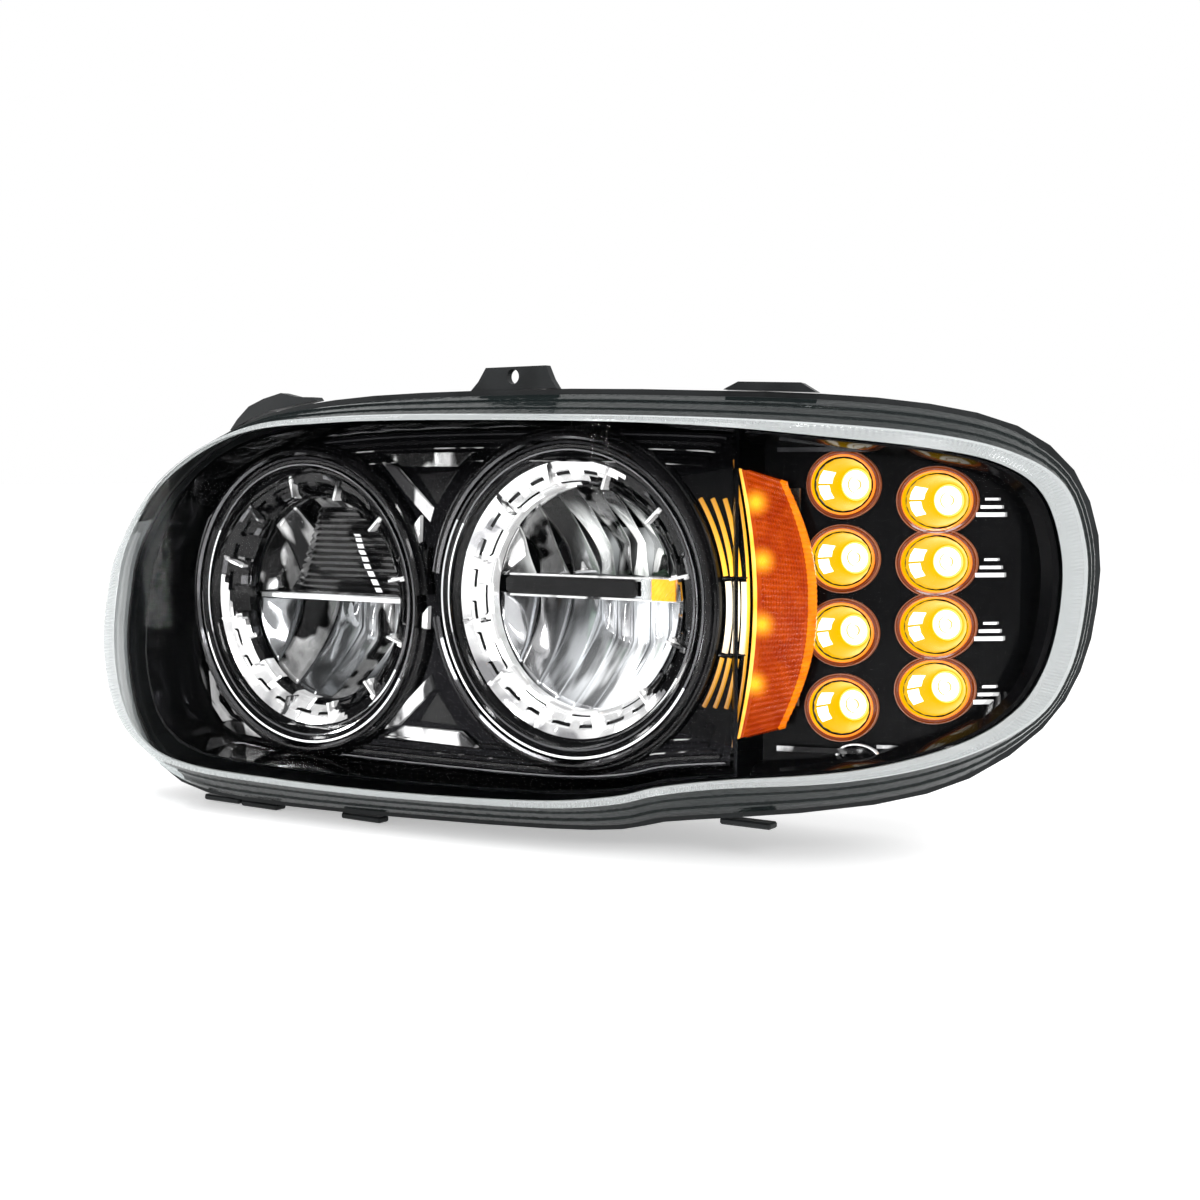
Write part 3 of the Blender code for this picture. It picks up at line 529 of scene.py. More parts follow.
def build_lens():
    band = smooth_curve(BAND_EDGE, 4)
    shares = (0.12, 0.36, 0.6, 0.8, 0.93, 1.0)
    outside = [behind_lens(scaled(band, LENS_MIDDLE, s, s), 0) for s in shares]
    inside = [behind_lens(scaled(band, LENS_MIDDLE, s, s), LENS_THICK) for s in reversed(shares)]
    vertices, faces = rings(outside + inside, caps=True)
    piece("lens_face", vertices, faces, LENS_CLEAR, slot="clear_lens", replaces=("outer_lens",), sharp=50)

    flutes = 34
    inner = smooth_curve(BAND_EDGE, flutes)
    outer = smooth_curve(FRONT_EDGE, flutes)
    rows = [behind_lens(inner, 3.0), behind_lens(inner, 0)]
    for share, sink in ((0.08, 0.0), (0.25, 0.15), (0.55, 0.3), (0.85, 0.6)):
        row = behind_lens(between(inner, outer, share), sink)
        rows.append([(x, y - (0.5 if i % 2 and share > 0.1 else 0), z) for i, (x, y, z) in enumerate(row)])
    rows.append(behind_lens(outer, 2.2))
    rows.append(behind_lens(grown(outer, 0.3), 4.5))
    rows.append(behind_lens(grown(outer, -2.5), 5.0))
    vertices, faces = rings(rows, wrap=True)
    piece("lens_fluted_band", vertices, faces, LENS_BAND_PAINTED_HIGHLIGHT, slot="clear_lens", sharp=20)

    coarse = smooth_curve(FRONT_EDGE, 4)
    wide = smooth_curve(FLANGE_EDGE, 4)
    rows = []
    steps = ((4.7, 0), (12, 0), (12.6, 0.9), (15, 0.9), (15.6, 0.2), (23, 0.2), (23.8, 1.3), (26, 1.3),
             (26.6, 0), (34, -0.6), (FLANGE_DEPTH, -0.6))
    for depth, out in steps:
        share = (depth - WALL_DEPTH) / (FLANGE_DEPTH - WALL_DEPTH)
        rows.append(behind_lens(grown(between(coarse, wide, share), out), depth))
    for depth in (FLANGE_DEPTH, 5.2):
        share = (depth - WALL_DEPTH) / (FLANGE_DEPTH - WALL_DEPTH)
        rows.append(behind_lens(grown(between(coarse, wide, share), -3), depth))
    vertices, faces = rings(rows, wrap=True)
    middles = [[sum(vertices[k][axis] for k in face) / len(face) for axis in (0, 2)] for face in faces]
    # painted highlight: the side wall's inboard lower end takes the pale look, the rest the dark look
    picks = [1 if x < -205 and z < 40 else 0 for x, z in middles]
    piece("lens_side_wall", vertices, faces, [LENS_WALL, LENS_PALE_HIGHLIGHT], slot="clear_lens", sharp=30, picks=picks)


# ---------------------------------------------------------------- trim rings


def trim_ring(beam, name, painted_reflection_arcs):
    """Castellated trim ring: fine lines on a black rolled lip, then a plated band cut by dashes and steps.
    The band carries a painted reflection inside the given arcs, and the fine lines a painted highlight on
    their lower left half.
    """
    cx, cz = BEAMS[beam]
    profile = [
        (97, -153.5), (97, -162.8), (96.2, -164.0), (94.8, -164.0), (94.0, -162.6), (92.2, -162.0),
        (91.4, -163.2), (90.4, -163.0), (89.8, -160.6), (88.2, -158.4), (86.6, -158.0), (85.6, -158.6),
        (84.6, -158.0), (82.0, -157.2), (79.4, -155.9), (78.6, -155.4), (76.6, -154.1), (75.8, -153.5),
        (72.4, -151.0), (71.4, -150.0), (69.6, -148.0), (68.6, -145.6), (68.6, -139.4), (76, -139.6),
    ]
    lines, band_start, dash_row, step_row = (2, 6, 10), 12, 15, 18
    count = 288
    rows = []
    for k, (radius, y) in enumerate(profile):
        row = []
        for i in range(count):
            sector, fine = (360 * i / count + 5) % 30, (360 * i / count) % 15
            depth = 0.0
            if k in (dash_row, dash_row + 1) and 3 < fine < 11.5:
                depth = 2.6
            if step_row <= k <= step_row + 2 and sector < 15:
                depth = 2.2
            if k in (band_start + 1, band_start + 2) and 17 < sector < 26:
                depth = max(depth, 0.9)
            a = math.radians(360 * i / count)
            row.append((cx + radius * math.cos(a), y + depth, cz + radius * math.sin(a)))
        rows.append(row)
    picks = []
    for k in range(len(profile)):
        for i in range(count):
            angle = 360 * (i + 0.5) / count
            sector, fine = (angle + 5) % 30, angle % 15
            lean = 4 * (k - band_start)
            # painted reflection: the plated band is bright only inside the given arcs
            lit = any(start + lean <= angle <= stop - lean / 2 for start, stop in painted_reflection_arcs)
            if beam == "high_beam" and k > dash_row + 2:
                lit = lit and sector > 15
            # painted highlight: the fine lines are bright chrome on their lower left half and smoke chrome on
            # the rest
            if k in lines:
                picks.append(2 if 150 < angle < 330 else 1)
            elif k < band_start or k > step_row + 3 or (k == step_row and sector < 15):
                picks.append(0)
            elif k == dash_row and 3 < fine < 11.5:
                picks.append(0)
            elif lit:
                picks.append(3)
            else:
                picks.append(1 if k >= step_row and sector > 24 or k == 12 and 17 < sector < 26 else 0)
    vertices, faces = rings(rows, wrap=True)
    looks = [BLACK_GLOSS, SMOKE_CHROME, CHROME, PAINTED_MIRROR_BAND]
    piece(name, vertices, faces, looks, picks=picks, slot="bright_chrome", sharp=25,
          replaces=(f"{beam}_ring",))
    for i in range(12):
        angle = math.radians(30 * i + 12)
        along = Vector((math.cos(angle), math.sin(angle)))
        across = Vector((-along.y, along.x))
        for part, low, high, shift, half, front in (
            ("bar", 70.5, 84.0, 0, 0.9, -158.4),
            ("head", 70, 74, 1.3, 0.8, -154.5),
            ("foot", 81, 84.6, -1.4, 0.8, -158.9),
        ):
            corners = [(low, shift - half), (high, shift - half), (high, shift + half), (low, shift + half)]
            outline = [tuple(Vector((cx, cz)) + along * r + across * c) for r, c in corners]
            slab(f"{name}_{part}_{i + 1}", outline, front, front + 6, PAINTED_MIRROR, bevel=0.3, slot="bright_chrome")


# ---------------------------------------------------------------- bezel dressing


def bead(name, points, width, height, face_y, material, closed=False, **options):
    """Raised rib of flat-topped section along a path of X and Z points."""
    path = [Vector(p) for p in points]
    count = len(path)
    rows = []
    for side, lift in ((-0.5, 0), (-0.32, 1), (0.32, 1), (0.5, 0)):
        row = []
        for i, p in enumerate(path):
            before = path[i - 1] if closed or i else path[0]
            after = path[(i + 1) % count] if closed or i + 1 < count else path[-1]
            along = (after - before).normalized()
            q = p + Vector((-along.y, along.x)) * side * width
            row.append((q.x, face_y - height * lift, q.y))
        rows.append(row)
    vertices, faces = rings(rows, wrap=True, closed=closed)
    if not closed:
        faces += end_faces(rows)
    return piece(name, vertices, faces, material, **options)


def border_path(inset, low=0, high=None):
    edge = smooth_curve(BEZEL_EDGE, 4, closed=False)
    shares = 1 - inset / 225, 1 - inset / 112
    path = scaled(edge, BEZEL_MIDDLE, *shares)
    path = [p for p in path if p.x < 219]
    return path[low:high]


def outer_roll(name, beam, start, stop):
    """Stepped black collar round a trim ring, with one fine plated line on its crest."""
    cx, cz = BEAMS[beam]
    section = [
        (97.6, -157), (97.6, -165.2), (99.0, -166.8), (100.6, -166.8), (101.6, -165.4), (102.2, -162.6),
        (103.4, -162.2), (104.6, -163.2), (105.6, -162.6), (106.4, -160), (106.6, -157),
    ]
    steps = 180
    rows = []
    for radius, y in section:
        row = []
        for i in range(steps + 1):
            a = math.radians(start + (stop - start) * i / steps)
            row.append((cx + radius * math.cos(a), y, cz + radius * math.sin(a)))
        rows.append(row)
    vertices, faces = rings(rows, wrap=True, closed=False)
    faces += end_faces(rows)
    picks = [1 if f // steps in (1, 6) else 0 for f in range(steps * len(section))] + [0, 0]
    piece(name, vertices, faces, [BLACK_GLOSS, SMOKE_CHROME], picks=picks, slot="dark_chrome", sharp=20)


def accent(name, outline, lift, material, tilt):
    """Bevelled plate whose face is tilted in X, so it catches a different light from its neighbours."""
    middle = sum(p[0] for p in outline) / len(outline)
    rows = [[(a, BEZEL_FACE_Y + 0.2, b) for a, b in outline]]
    rows.append([(a, BEZEL_FACE_Y - lift + 0.6 - tilt * (a - middle), b) for a, b in outline])
    centre = Vector((middle, sum(p[1] for p in outline) / len(outline)))
    inner = [centre + (Vector(p) - centre) * 0.93 for p in outline]
    rows.append([(p.x, BEZEL_FACE_Y - lift - tilt * (p.x - middle), p.y) for p in inner])
    vertices, faces = rings(rows, caps=True)
    piece(name, vertices, faces, material, slot="dark_chrome", smooth=False)


def bezel_dressing():
    foot = BEZEL_FACE_Y + 0.2
    ribs = ((7, 1.4, 2.4, SMOKE_CHROME), (11, 3.0, 1.8, BLACK_GLOSS), (15, 1.0, 2.6, PAINTED_MIRROR_DIM),
            (19, 3.4, 1.4, DARK_CHROME), (23, 0.9, 2.2, PAINTED_MIRROR_DIM))
    for i, (inset, width, height, look) in enumerate(ribs):
        bead(f"bezel_border_{i + 1}", border_path(inset), width, height, foot, look, slot="dark_chrome")
    outer_roll("high_beam_collar", "high_beam", 4, 352)
    outer_roll("low_beam_collar", "low_beam", -172, 172)
    for name, sign, low in (("upper", 1, 90), ("lower", -1, 96)):
        a, b, c = Vector((-42, low * sign)), Vector((36, low * sign)), Vector((-2, (low - 45) * sign))
        bar = [a, b, b + Vector((-13, -9 * sign)), a + Vector((17, -9 * sign))]
        arm = [
            a + Vector((3, -6 * sign)), a + Vector((14, -9 * sign)), a + Vector((25, -19 * sign)),
            c + Vector((3, 10 * sign)), c + Vector((0, 1 * sign)), a + Vector((22, -27 * sign)),
        ]
        well = [a + Vector((30, -13 * sign)), b + Vector((-16, -12 * sign)), c + Vector((5, 12 * sign))]
        # painted reflection: the bars, arms, pillars and corner plates take bright or dim copies of the
        # painted reflection, one by one
        accent(f"bezel_{name}_bar", bar, 2.8, PAINTED_MIRROR if sign < 0 else PAINTED_MIRROR_DIM, 0.05)
        accent(f"bezel_{name}_arm", arm, 2.6, PAINTED_MIRROR, -0.08)
        accent(f"bezel_{name}_well", well, 0.8, BLACK_GLOSS, 0)
    pillars = ((-12, 24, 50, 0.16), (-6, 8, 30, -0.12), (-6, -30, -8, 0.14), (-12, -56, -32, -0.16))
    for i, (x, low, high, tilt) in enumerate(pillars):
        outline = [(x - 3.2, low), (x + 3, low + 4), (x + 4, high), (x - 1.5, high - 5)]
        accent(f"bezel_pillar_{i + 1}", outline, 3.0 + 0.4 * (i % 2), PAINTED_MIRROR_DIM if i % 2 else PAINTED_MIRROR, tilt)
    corner = [
        [(-203, -62), (-197, -66), (-193, -84), (-181, -95), (-189, -97), (-200, -86)],
        [(-183, -95), (-166, -96), (-148, -101), (-145, -106), (-176, -104), (-188, -99)],
        [(-207, -18), (-203, -20), (-200, -56), (-205, -56)],
        [(-178, -80), (-170, -84), (-160, -90), (-166, -93), (-178, -91), (-183, -85)],
        [(-212, 26), (-206, 22), (-203, -2), (-208, -4)],
    ]
    tilts = (0.08, -0.05, 0.12, 0.1, 0.1)
    for i, (outline, tilt) in enumerate(zip(corner, tilts)):
        accent(f"bezel_corner_{i + 1}", outline, 2.6, PAINTED_MIRROR if i in (0, 3) else PAINTED_MIRROR_DIM, tilt)


# ---------------------------------------------------------------- reflectors


def bowl(radius):
    """Depth of the reflector's face at a distance from the beam's axis."""
    inside = max(0.0, (radius - 33) / 41)
    return -80 - 53 * inside**1.15


def faceted_half(name, beam, upper, strips, crown, twist, materials, replaces, rows=18, columns=7):
    """Half reflector made of upright facets. crown bulges each one, twist turns it about its own line."""
    cx, cz = BEAMS[beam]
    middle, thickness = DIVIDERS[beam]
    start = (middle + thickness / 2 + 0.5) if upper else (middle - thickness / 2 - 0.5)
    sign = 1 if upper else -1
    vertices, faces, picks = [], [], []
    for number, (left, right) in enumerate(zip(strips[:-1], strips[1:])):
        base = len(vertices)
        for i in range(columns + 1):
            x = left + (right - left) * i / columns
            local = 2 * i / columns - 1
            top = math.sqrt(max(WINDOW_R**2 - x * x, 0.0))
            reach = max(top - abs(start - cz) * (1 if (start - cz) * sign > 0 else -1), 0.5)
            for j in range(rows + 1):
                v = j / rows
                z = start + sign * reach * v
                y = bowl(math.hypot(x, z - cz))
                fade = math.sin(math.pi * min(1, v * 1.15 + 0.1))
                y -= crown * (1 - local**2) * max(fade, 0.15)
                y -= twist * local * max(fade, 0.0) * (1 if number % 2 else 0.6)
                vertices.append((cx + x, max(y, REFLECTOR_FRONT_Y), z))
        for i in range(columns):
            for j in range(rows):
                a = base + i * (rows + 1) + j
                faces.append((a, a + 1, a + rows + 2, a + rows + 1))
                picks.append(number % len(materials))
    obj = piece(name, vertices, faces, materials, replaces=replaces, picks=picks, sharp=50, **ON_CARRIER)
    return thicken(obj, 1.0, 1)


def staircase(name, beam, material):
    """Black ribs from the window's outboard edge to a curved left end, narrowing to a point at the top, with
    painted highlight lines on the rib fronts and left ends.
    """
    cx, cz = BEAMS[beam]
    middle, thickness = DIVIDERS[beam]
    start = middle + thickness / 2 + 0.6
    pitch, steps, columns = 4.2, 14, 10
    vertices = []
    for i in range(steps):
        low = start + i * pitch
        share = i / steps
        left = -46 + 28 * share**0.75
        right = math.sqrt(max(STAIR_R**2 - (low + pitch - cz) ** 2, 60))
        for z, push in ((low, 3.0), (low + pitch * 0.3, 5.4), (low + pitch * 0.95, 1.6)):
            for c in range(columns + 1):
                x = left + (right - left) * c / columns
                y = -125.5 - push + 4 * (c == 0)
                vertices.append((cx + x, y, z))
    faces = sheet_faces(steps * 3 - 1, columns)
    # painted highlight: the rib fronts and the ribs' left ends take the rib highlight look
    picks = [
        1 if (row % 3 == 0 and col < 9) or (col == 0 and row % 3 == 1) else 0
        for row in range(steps * 3 - 1)
        for col in range(columns)
    ]
    obj = piece(name, vertices, faces, [material, RIB_HIGHLIGHT], body="carrier", slot="gloss_black", smooth=False,
                picks=picks)
    thicken(obj, 1.0, 1)


def mirror_strip(name, beam, points, width, material):
    """Narrow bright strip, its brightness a painted glow, in pieces, one to each rib it crosses."""
    cx, _ = BEAMS[beam]
    curve = smooth_curve(points, 9, closed=False)
    vertices, faces = [], []
    for i, p in enumerate(curve[:-1]):
        q = curve[i + 1]
        if i % 3 == 2:
            continue
        base = len(vertices)
        for r in (p, q):
            for side in (-0.5, 0.5):
                y = -132.4
                vertices.append((cx + r.x + side * width, y, r.y))
        faces.append((base, base + 1, base + 3, base + 2))
    thicken(piece(name, vertices, faces, material, smooth=False, **ON_CARRIER), 0.6, 1)


def divider_trim():
    """Bright front edge of each bar, its brightness painted: a painted glow on the high beam's line, a
    painted reflection on the low beam's two lines; the low beam's also gets a raised black face and the amber
    cell.
    """
    for beam, x_low, x_high in (("high_beam", -68, 68), ("low_beam", -64, 65)):
        cx, _ = BEAMS[beam]
        middle, thickness = DIVIDERS[beam]
        half = thickness / 2
        if beam == "high_beam":
            lines, look = [(middle, 1.6)], BAR_PAINTED_GLOW
        else:
            lines, look = [(middle + half + 2, 0.7), (middle - half - 2, 0.8)], PAINTED_MIRROR
        for i, (z, reach) in enumerate(lines):
            low, high = z - reach, z + reach
            outline = [(cx + x_low, low), (cx + x_high, low), (cx + x_high, high), (cx + x_low, high)]
            slab(f"{beam}_bar_line_{i + 1}", outline, -134.6, BAR_BACK_Y, look, bevel=0.3, **ON_CARRIER)
    cx, z = BEAMS["low_beam"][0], DIVIDERS["low_beam"][0]
    nose = [
        (cx - 66, z - 4), (cx - 63, z - 5.8), (cx + 29, z - 5.8), (cx + 33, z - 3),
        (cx + 33, z + 3), (cx + 29, z + 5.8), (cx - 63, z + 5.8), (cx - 66, z + 4),
    ]
    slab("low_beam_bar_face", nose, -136.4, BAR_BACK_Y, BLACK_GLOSS, bevel=0.8, body="carrier",
         slot="gloss_black")
    frame_out = [(cx + 34.5, z - 7.4), (cx + 65, z - 7.4), (cx + 65, z + 7.4), (cx + 34.5, z + 7.4)]
    slab("position_light_cell", frame_out, -134.2, -126, PAINTED_MIRROR, bevel=0.8,
         replaces=("position_light_window",), **ON_CARRIER)
    # the clear windows either side of the lit cell take the pale painted-highlight look
    windows = ((35.5, 42.5, LENS_PALE_HIGHLIGHT), (43.5, 60, POSITION_LIT), (61, 65, LENS_PALE_HIGHLIGHT))
    for i, (low, high, look) in enumerate(windows):
        columns, lines, vertices = 10, 6, []
        for r in range(lines + 1):
            for c in range(columns + 1):
                dimple = 0.7 * ((r + c) % 2)
                x = cx + low + (high - low) * c / columns
                vertices.append((x, -134.8 - dimple, z - 6.5 + 13 * r / lines))
        faces = sheet_faces(lines, columns)
        obj = piece(f"position_light_face_{i + 1}", vertices, faces, look, body="carrier", slot="amber_lens",
                    smooth=False)
        thicken(obj, 1.0, 1)


# ---------------------------------------------------------------- turn signal


def cup(number, x, z):
    """Lit cup: a flared golden liner with a painted amber glow, the bright emitter at its foot, two painted
    highlight patches on the liner and a clear rim ring round its mouth with a painted glow.
    """
    face = lens_front(x) + PANEL_DEPTH
    foot = face + CUP_BACK - 2
    slope = (lens_front(x + 1) - lens_front(x - 1)) / 2
    count = 48
    rows = []
    levels = ((16.2, -0.08), (15.6, -0.04), (14.7, 0.04), (14.0, 0.2), (12.8, 0.42), (11.4, 0.68), (9.6, 0.9),
              (8.0, 1.0))
    for radius, share in levels:
        row = []
        for i in range(count):
            a = 2 * math.pi * i / count
            px = x + radius * math.cos(a)
            mouth = face + slope * radius * math.cos(a) + 0.3
            row.append((px, mouth + (foot - mouth) * share, z + radius * math.sin(a)))
        rows.append(row)
    vertices, faces = rings(rows)
    liner = piece(f"turn_cup_{number}", vertices, faces, CUP_GOLD_PAINTED_GLOW[number], slot="amber_lamp")
    thicken(liner, 0.25, 1)

    rows = []
    turns = [2 * math.pi * i / EMITTER_SIDES for i in range(EMITTER_SIDES)]
    for radius, rise in ((9.2, -0.4), (9.2, -1.6), (8.2, -2.2), (5.0, -2.2), (4.6, -1.0), (3.2, -0.8),
                         (2.8, -2.6), (0.6, -3.0)):
        rows.append([(x + radius * math.cos(a), foot + rise, z + radius * math.sin(a)) for a in turns])
    rows.insert(0, [(px, foot + 0.4, pz) for px, _, pz in rows[0]])
    vertices, faces = rings(rows, caps=True)
    bands = [f // EMITTER_SIDES for f in range(len(faces))]
    picks = [1 if band in (1, 2) else 2 if band in (4, 6) else 0 for band in bands]
    piece(f"turn_emitter_{number}", vertices, faces, [EMITTER, EMITTER_EDGE, EMITTER_RING], picks=picks,
          slot="amber_lamp", replaces=(f"turn_lens_{number}",))

    # painted highlight: bright patches in the emitter's look on the liner's inboard wall, above and below the
    # middle
    for side, low, high, deep in (("upper", 3, 36, 0.62), ("lower", -40, -3, 0.5)):
        patch = []
        for share in (0.06, deep):
            radius = 13.9 - 3.4 * share
            for angle in (180 - high, 180 - (low + high) / 2, 180 - low):
                px = x + radius * math.cos(math.radians(angle))
                mouth = face + slope * (px - x) + 0.3
                pz = z + radius * math.sin(math.radians(angle))
                patch.append((px, mouth + (foot - mouth) * share - 0.5, pz))
        squares = [(0, 1, 4, 3), (1, 2, 5, 4)]
        made = piece(f"turn_patch_{side}_{number}", patch, squares, EMITTER, slot="amber_lamp", smooth=False)
        thicken(made, 0.3, 1)

    # the glow and rim rings take painted glow looks
    for part, section, look in (
        ("glow", ((16.0, 0.3), (16.0, -1.7), (16.9, -1.9), (17.2, 0.2)), RIM_PAINTED_GLOW),
        ("rim", ((17.2, 0.2), (17.3, -1.6), (18.3, -1.9), (19.0, -1.2), (19.1, 0.3)), RIM_PAINTED_DIM_GLOW),
        ("line", ((19.0, 0.2), (19.1, -1.5), (19.5, -1.5), (19.7, 0.2)), RIM_LINE),
    ):
        rows = []
        for radius, lift in section:
            row = []
            for i in range(count):
                a = 2 * math.pi * i / count
                px = x + radius * math.cos(a)
                row.append((px, lens_front(px) + PANEL_DEPTH + lift, z + radius * math.sin(a)))
            rows.append(row)
        vertices, faces = rings(rows, wrap=True)
        piece(f"turn_{part}_{number}", vertices, faces, look, slot="amber_lamp")


def wrapped(name, low, high, bottom, top, depth, material, spans=12, thick=1.2, **options):
    """Plate that follows the lens's curve at a depth behind it, between two X and two Z limits."""
    xs = [low + (high - low) * i / spans for i in range(spans + 1)]
    corners = ((bottom, 0), (top, 0), (top, thick), (bottom, thick))
    rows = [[(x, lens_front(x) + depth + lift, z) for x in xs] for z, lift in corners]
    vertices, faces = rings(rows, wrap=True, closed=False)
    faces += end_faces(rows)
    return piece(name, vertices, faces, material, smooth=False, **options)


def turn_surround():
    """Black wall from the turn panel's edge forward to the lens, with two plated lines near its front."""
    edge = smooth_curve(BAND_EDGE, 8)
    keep = [i for i, p in enumerate(edge) if p.x >= 228]
    run = [edge[i] for i in keep]
    rows = []
    steps = ((0.992, 4.2), (0.986, 6), (0.982, 6.2), (0.972, 12), (0.966, 12.4), (0.955, 20), (0.945, 30.5),
             (0.935, 30.5), (0.962, 12.6), (0.984, 4.4))
    for share, depth in steps:
        row = []
        for q in scaled(run, LENS_MIDDLE, share, share):
            row.append((q.x, lens_front(q.x) + depth, q.y))
        rows.append(row)
    vertices, faces = rings(rows, wrap=True, closed=False)
    spans = len(run) - 1
    picks = [1 if f // spans in (1, 4) else 0 for f in range(spans * len(rows))]
    faces += end_faces(rows)
    piece("turn_surround", vertices, faces, [PANEL_BLACK, SMOKE_CHROME], picks=picks + [0, 0],
          slot="gloss_black", sharp=20)


def turn_details():
    for i, z in enumerate((58, 24, -12, -48)):
        for k, (start, width) in enumerate(((338, 2.4), (340, 1.8), (342, 1.4))):
            foot = z - 6 + 4.6 * k
            wrapped(f"turn_fin_{i + 1}_{k + 1}", start, 351 - 1.5 * k, foot, foot + width, PANEL_DEPTH - 3,
                    PAINTED_MIRROR_BAND, spans=3, thick=3.4, slot="dark_chrome")
    wrapped("turn_lower_strip", 238, 292, -83, -80, PANEL_DEPTH - 4, PAINTED_MIRROR_DIM, slot="bright_chrome")
    wrapped("turn_lower_strip_b", 292, 346, -79.5, -77.5, PANEL_DEPTH - 4, PAINTED_MIRROR_DIM, slot="bright_chrome")
    wrapped("turn_upper_strip", 240, 330, 88.5, 91, PANEL_DEPTH - 10, SMOKE_CHROME, slot="dark_chrome")
    face = lens_front(283) + PANEL_DEPTH - 4.5
    turns = [math.radians(12 * j) for j in range(16)]
    for i, radius in enumerate((9, 13)):
        section = []
        for r, lift in ((radius - 1, 0), (radius - 0.5, -1.6), (radius + 0.5, -1.6), (radius + 1, 0)):
            row = [(283 + r * math.cos(a), face + lift, -84.5 + 0.55 * r * math.sin(a)) for a in turns]
            section.append(row)
        vertices, faces = rings(section, wrap=True, closed=False)
        faces += end_faces(section)
        # painted reflection: the inner half ring takes the dim copy, the outer the bright one
        piece(f"turn_half_ring_{i + 1}", vertices, faces, PAINTED_MIRROR if i else PAINTED_MIRROR_DIM, slot="bright_chrome")


def marker_left(z):
    return 221.5 + 9.5 * max(0.0, 1 - ((z - MARKER_Z) / MARKER_HALF) ** 2)


def lit_wall():
    """Plated wall between the low beam's ring and the side marker, crossed by upright plated bars with a
    painted amber glow, hottest next to the marker.
    """
    turns = [math.radians(a) for a in range(-44, 45, 4)]
    inner = COLLAR_R - 0.2
    backing = [(107 + inner * math.cos(a), inner * math.sin(a)) for a in turns]
    backing += [(marker_left(z) - 1.2, z) for z in range(80, -81, -8)]
    slab("amber_wall", backing, BEZEL_FACE_Y - 1.4, BEZEL_FACE_Y - 0.2, PANEL_BLACK, slot="gloss_black")
    number, foot = 0, BEZEL_FACE_Y - 1.2
    for low, high, shares, width, look in (
        (18, 62, (0.1, 0.38, 0.66), 3.0, WALL_PAINTED_AMBER_GLOW), (-26, 15, (0.17, 0.5, 0.83), 4.2, WALL_PAINTED_GLOW),
        (-58, -29, (0.12, 0.4, 0.68), 2.8, WALL_PAINTED_AMBER_GLOW), (-80, 84, (1.0,), 1.5, WALL_PAINTED_AMBER_GLOW),
    ):
        for share in shares:
            path = []
            for i in range(13):
                z = low + (high - low) * i / 12
                start = 107 + math.sqrt(COLLAR_R**2 - z * z) if abs(z) < 75 else 184
                path.append((start + (marker_left(z) - 1.4 - start) * share, z))
            number += 1
            bead(f"amber_bar_{number}", path, width, 1.4, foot, look, slot="amber_lamp", sharp=20)
    for z in (16.5, -27.5):
        start = 107 + math.sqrt(COLLAR_R**2 - z * z)
        path = [(start, z), (marker_left(z) - 1.2, z + 1)]
        bead(f"amber_cross_{int(abs(z))}", path, 1.2, 1.8, foot, PAINTED_MIRROR_DIM, slot="bright_chrome")


def reflex():
    """Amber side marker lens with a raised prism weave, a clear left edge and a toothed right edge."""
    columns, lines = 46, 90
    vertices = []

    def span(z):
        share = (z - MARKER_Z) / MARKER_HALF
        return marker_left(z), 248 + 18 * max(0.0, 1 - abs(share) ** 2.4)

    for j in range(lines + 1):
        z = -72 + 148 * j / lines
        left, right = span(z)
        for i in range(columns + 1):
            x = left + (right - left) * i / columns
            weave = 0.0
            if 5 < i < columns - 6:
                weave = 0.8 * (i % 2) * (j % 2) + 0.3 * (i % 2)
            tooth = 0.9 * (j % 2) if i >= columns - 6 else 0.0
            slope = 0.11 * (x - 232) * (z - MARKER_Z) / MARKER_HALF
            y = lens_front(x) + MARKER_DEPTH + weave * (1 if i % 2 else -0.2) + tooth
            vertices.append((x, y, z - slope * 3))
    faces = sheet_faces(lines, columns)
    picks = [1 if i < 3 else 2 if i >= columns - 6 else 0 for _ in range(lines) for i in range(columns)]
    obj = piece("marker_lens", vertices, faces, [AMBER_PRISM, AMBER_CLEAR, AMBER_TOOTH], picks=picks,
                slot="amber_lens", replaces=("reflex_reflector",), smooth=False)
    thicken(obj, 2.5, -1)


studio()
CUP_GOLD_PAINTED_GLOW = {}
EMITTER_EDGE = glowing("emitter_edge", (1.0, 0.72, 0.10), (1, 0.8, 0.2), 1.3, (0, 0, 0),
                       EVERYWHERE, base=(0.4, 0.3, 0.05), metallic=0)
EMITTER_RING = glowing("emitter_ring", (0.80, 0.45, 0.08), (0.9, 0.55, 0.1), 0.8, (0, 0, 0),
                       EVERYWHERE, base=(0.3, 0.2, 0.05), metallic=0)
EMITTER = glowing("emitter_white", (1.0, 0.90, 0.55), (1, 1, 0.95), 2.4, (0, 0, 0), EVERYWHERE,
                  base=(0.5, 0.45, 0.3), metallic=0)
# painted glow: orange emission on the rim rings round the cup mouths, a bright one and a dim one
RIM_PAINTED_GLOW = glowing("rim_painted_glow", (0.95, 0.20, 0.01), (1.0, 0.26, 0.01), 1.0, (295, -150, 5),
                   EVERYWHERE, base=(0.5, 0.1, 0.02), metallic=0)
RIM_PAINTED_DIM_GLOW = glowing("rim_painted_dim_glow", (0.16, 0.022, 0.001), (0.20, 0.03, 0.001), 1.0, (295, -150, 5),
                   EVERYWHERE, base=(0.01, 0.002, 0.001), metallic=0)
RIM_LINE = surface("rim_line", (0.22, 0.055, 0.02), (0.35, 0.12, 0.05), 0.12, coat=0.5, grain=400)
AMBER_PRISM = marker_amber("amber_prism", (0.29, 0.024, 0.001), (0.50, 0.07, 0.001), 0.10)
AMBER_CLEAR = marker_amber("amber_edge", (1.0, 0.42, 0.03), (1.0, 0.66, 0.20), 0.5)
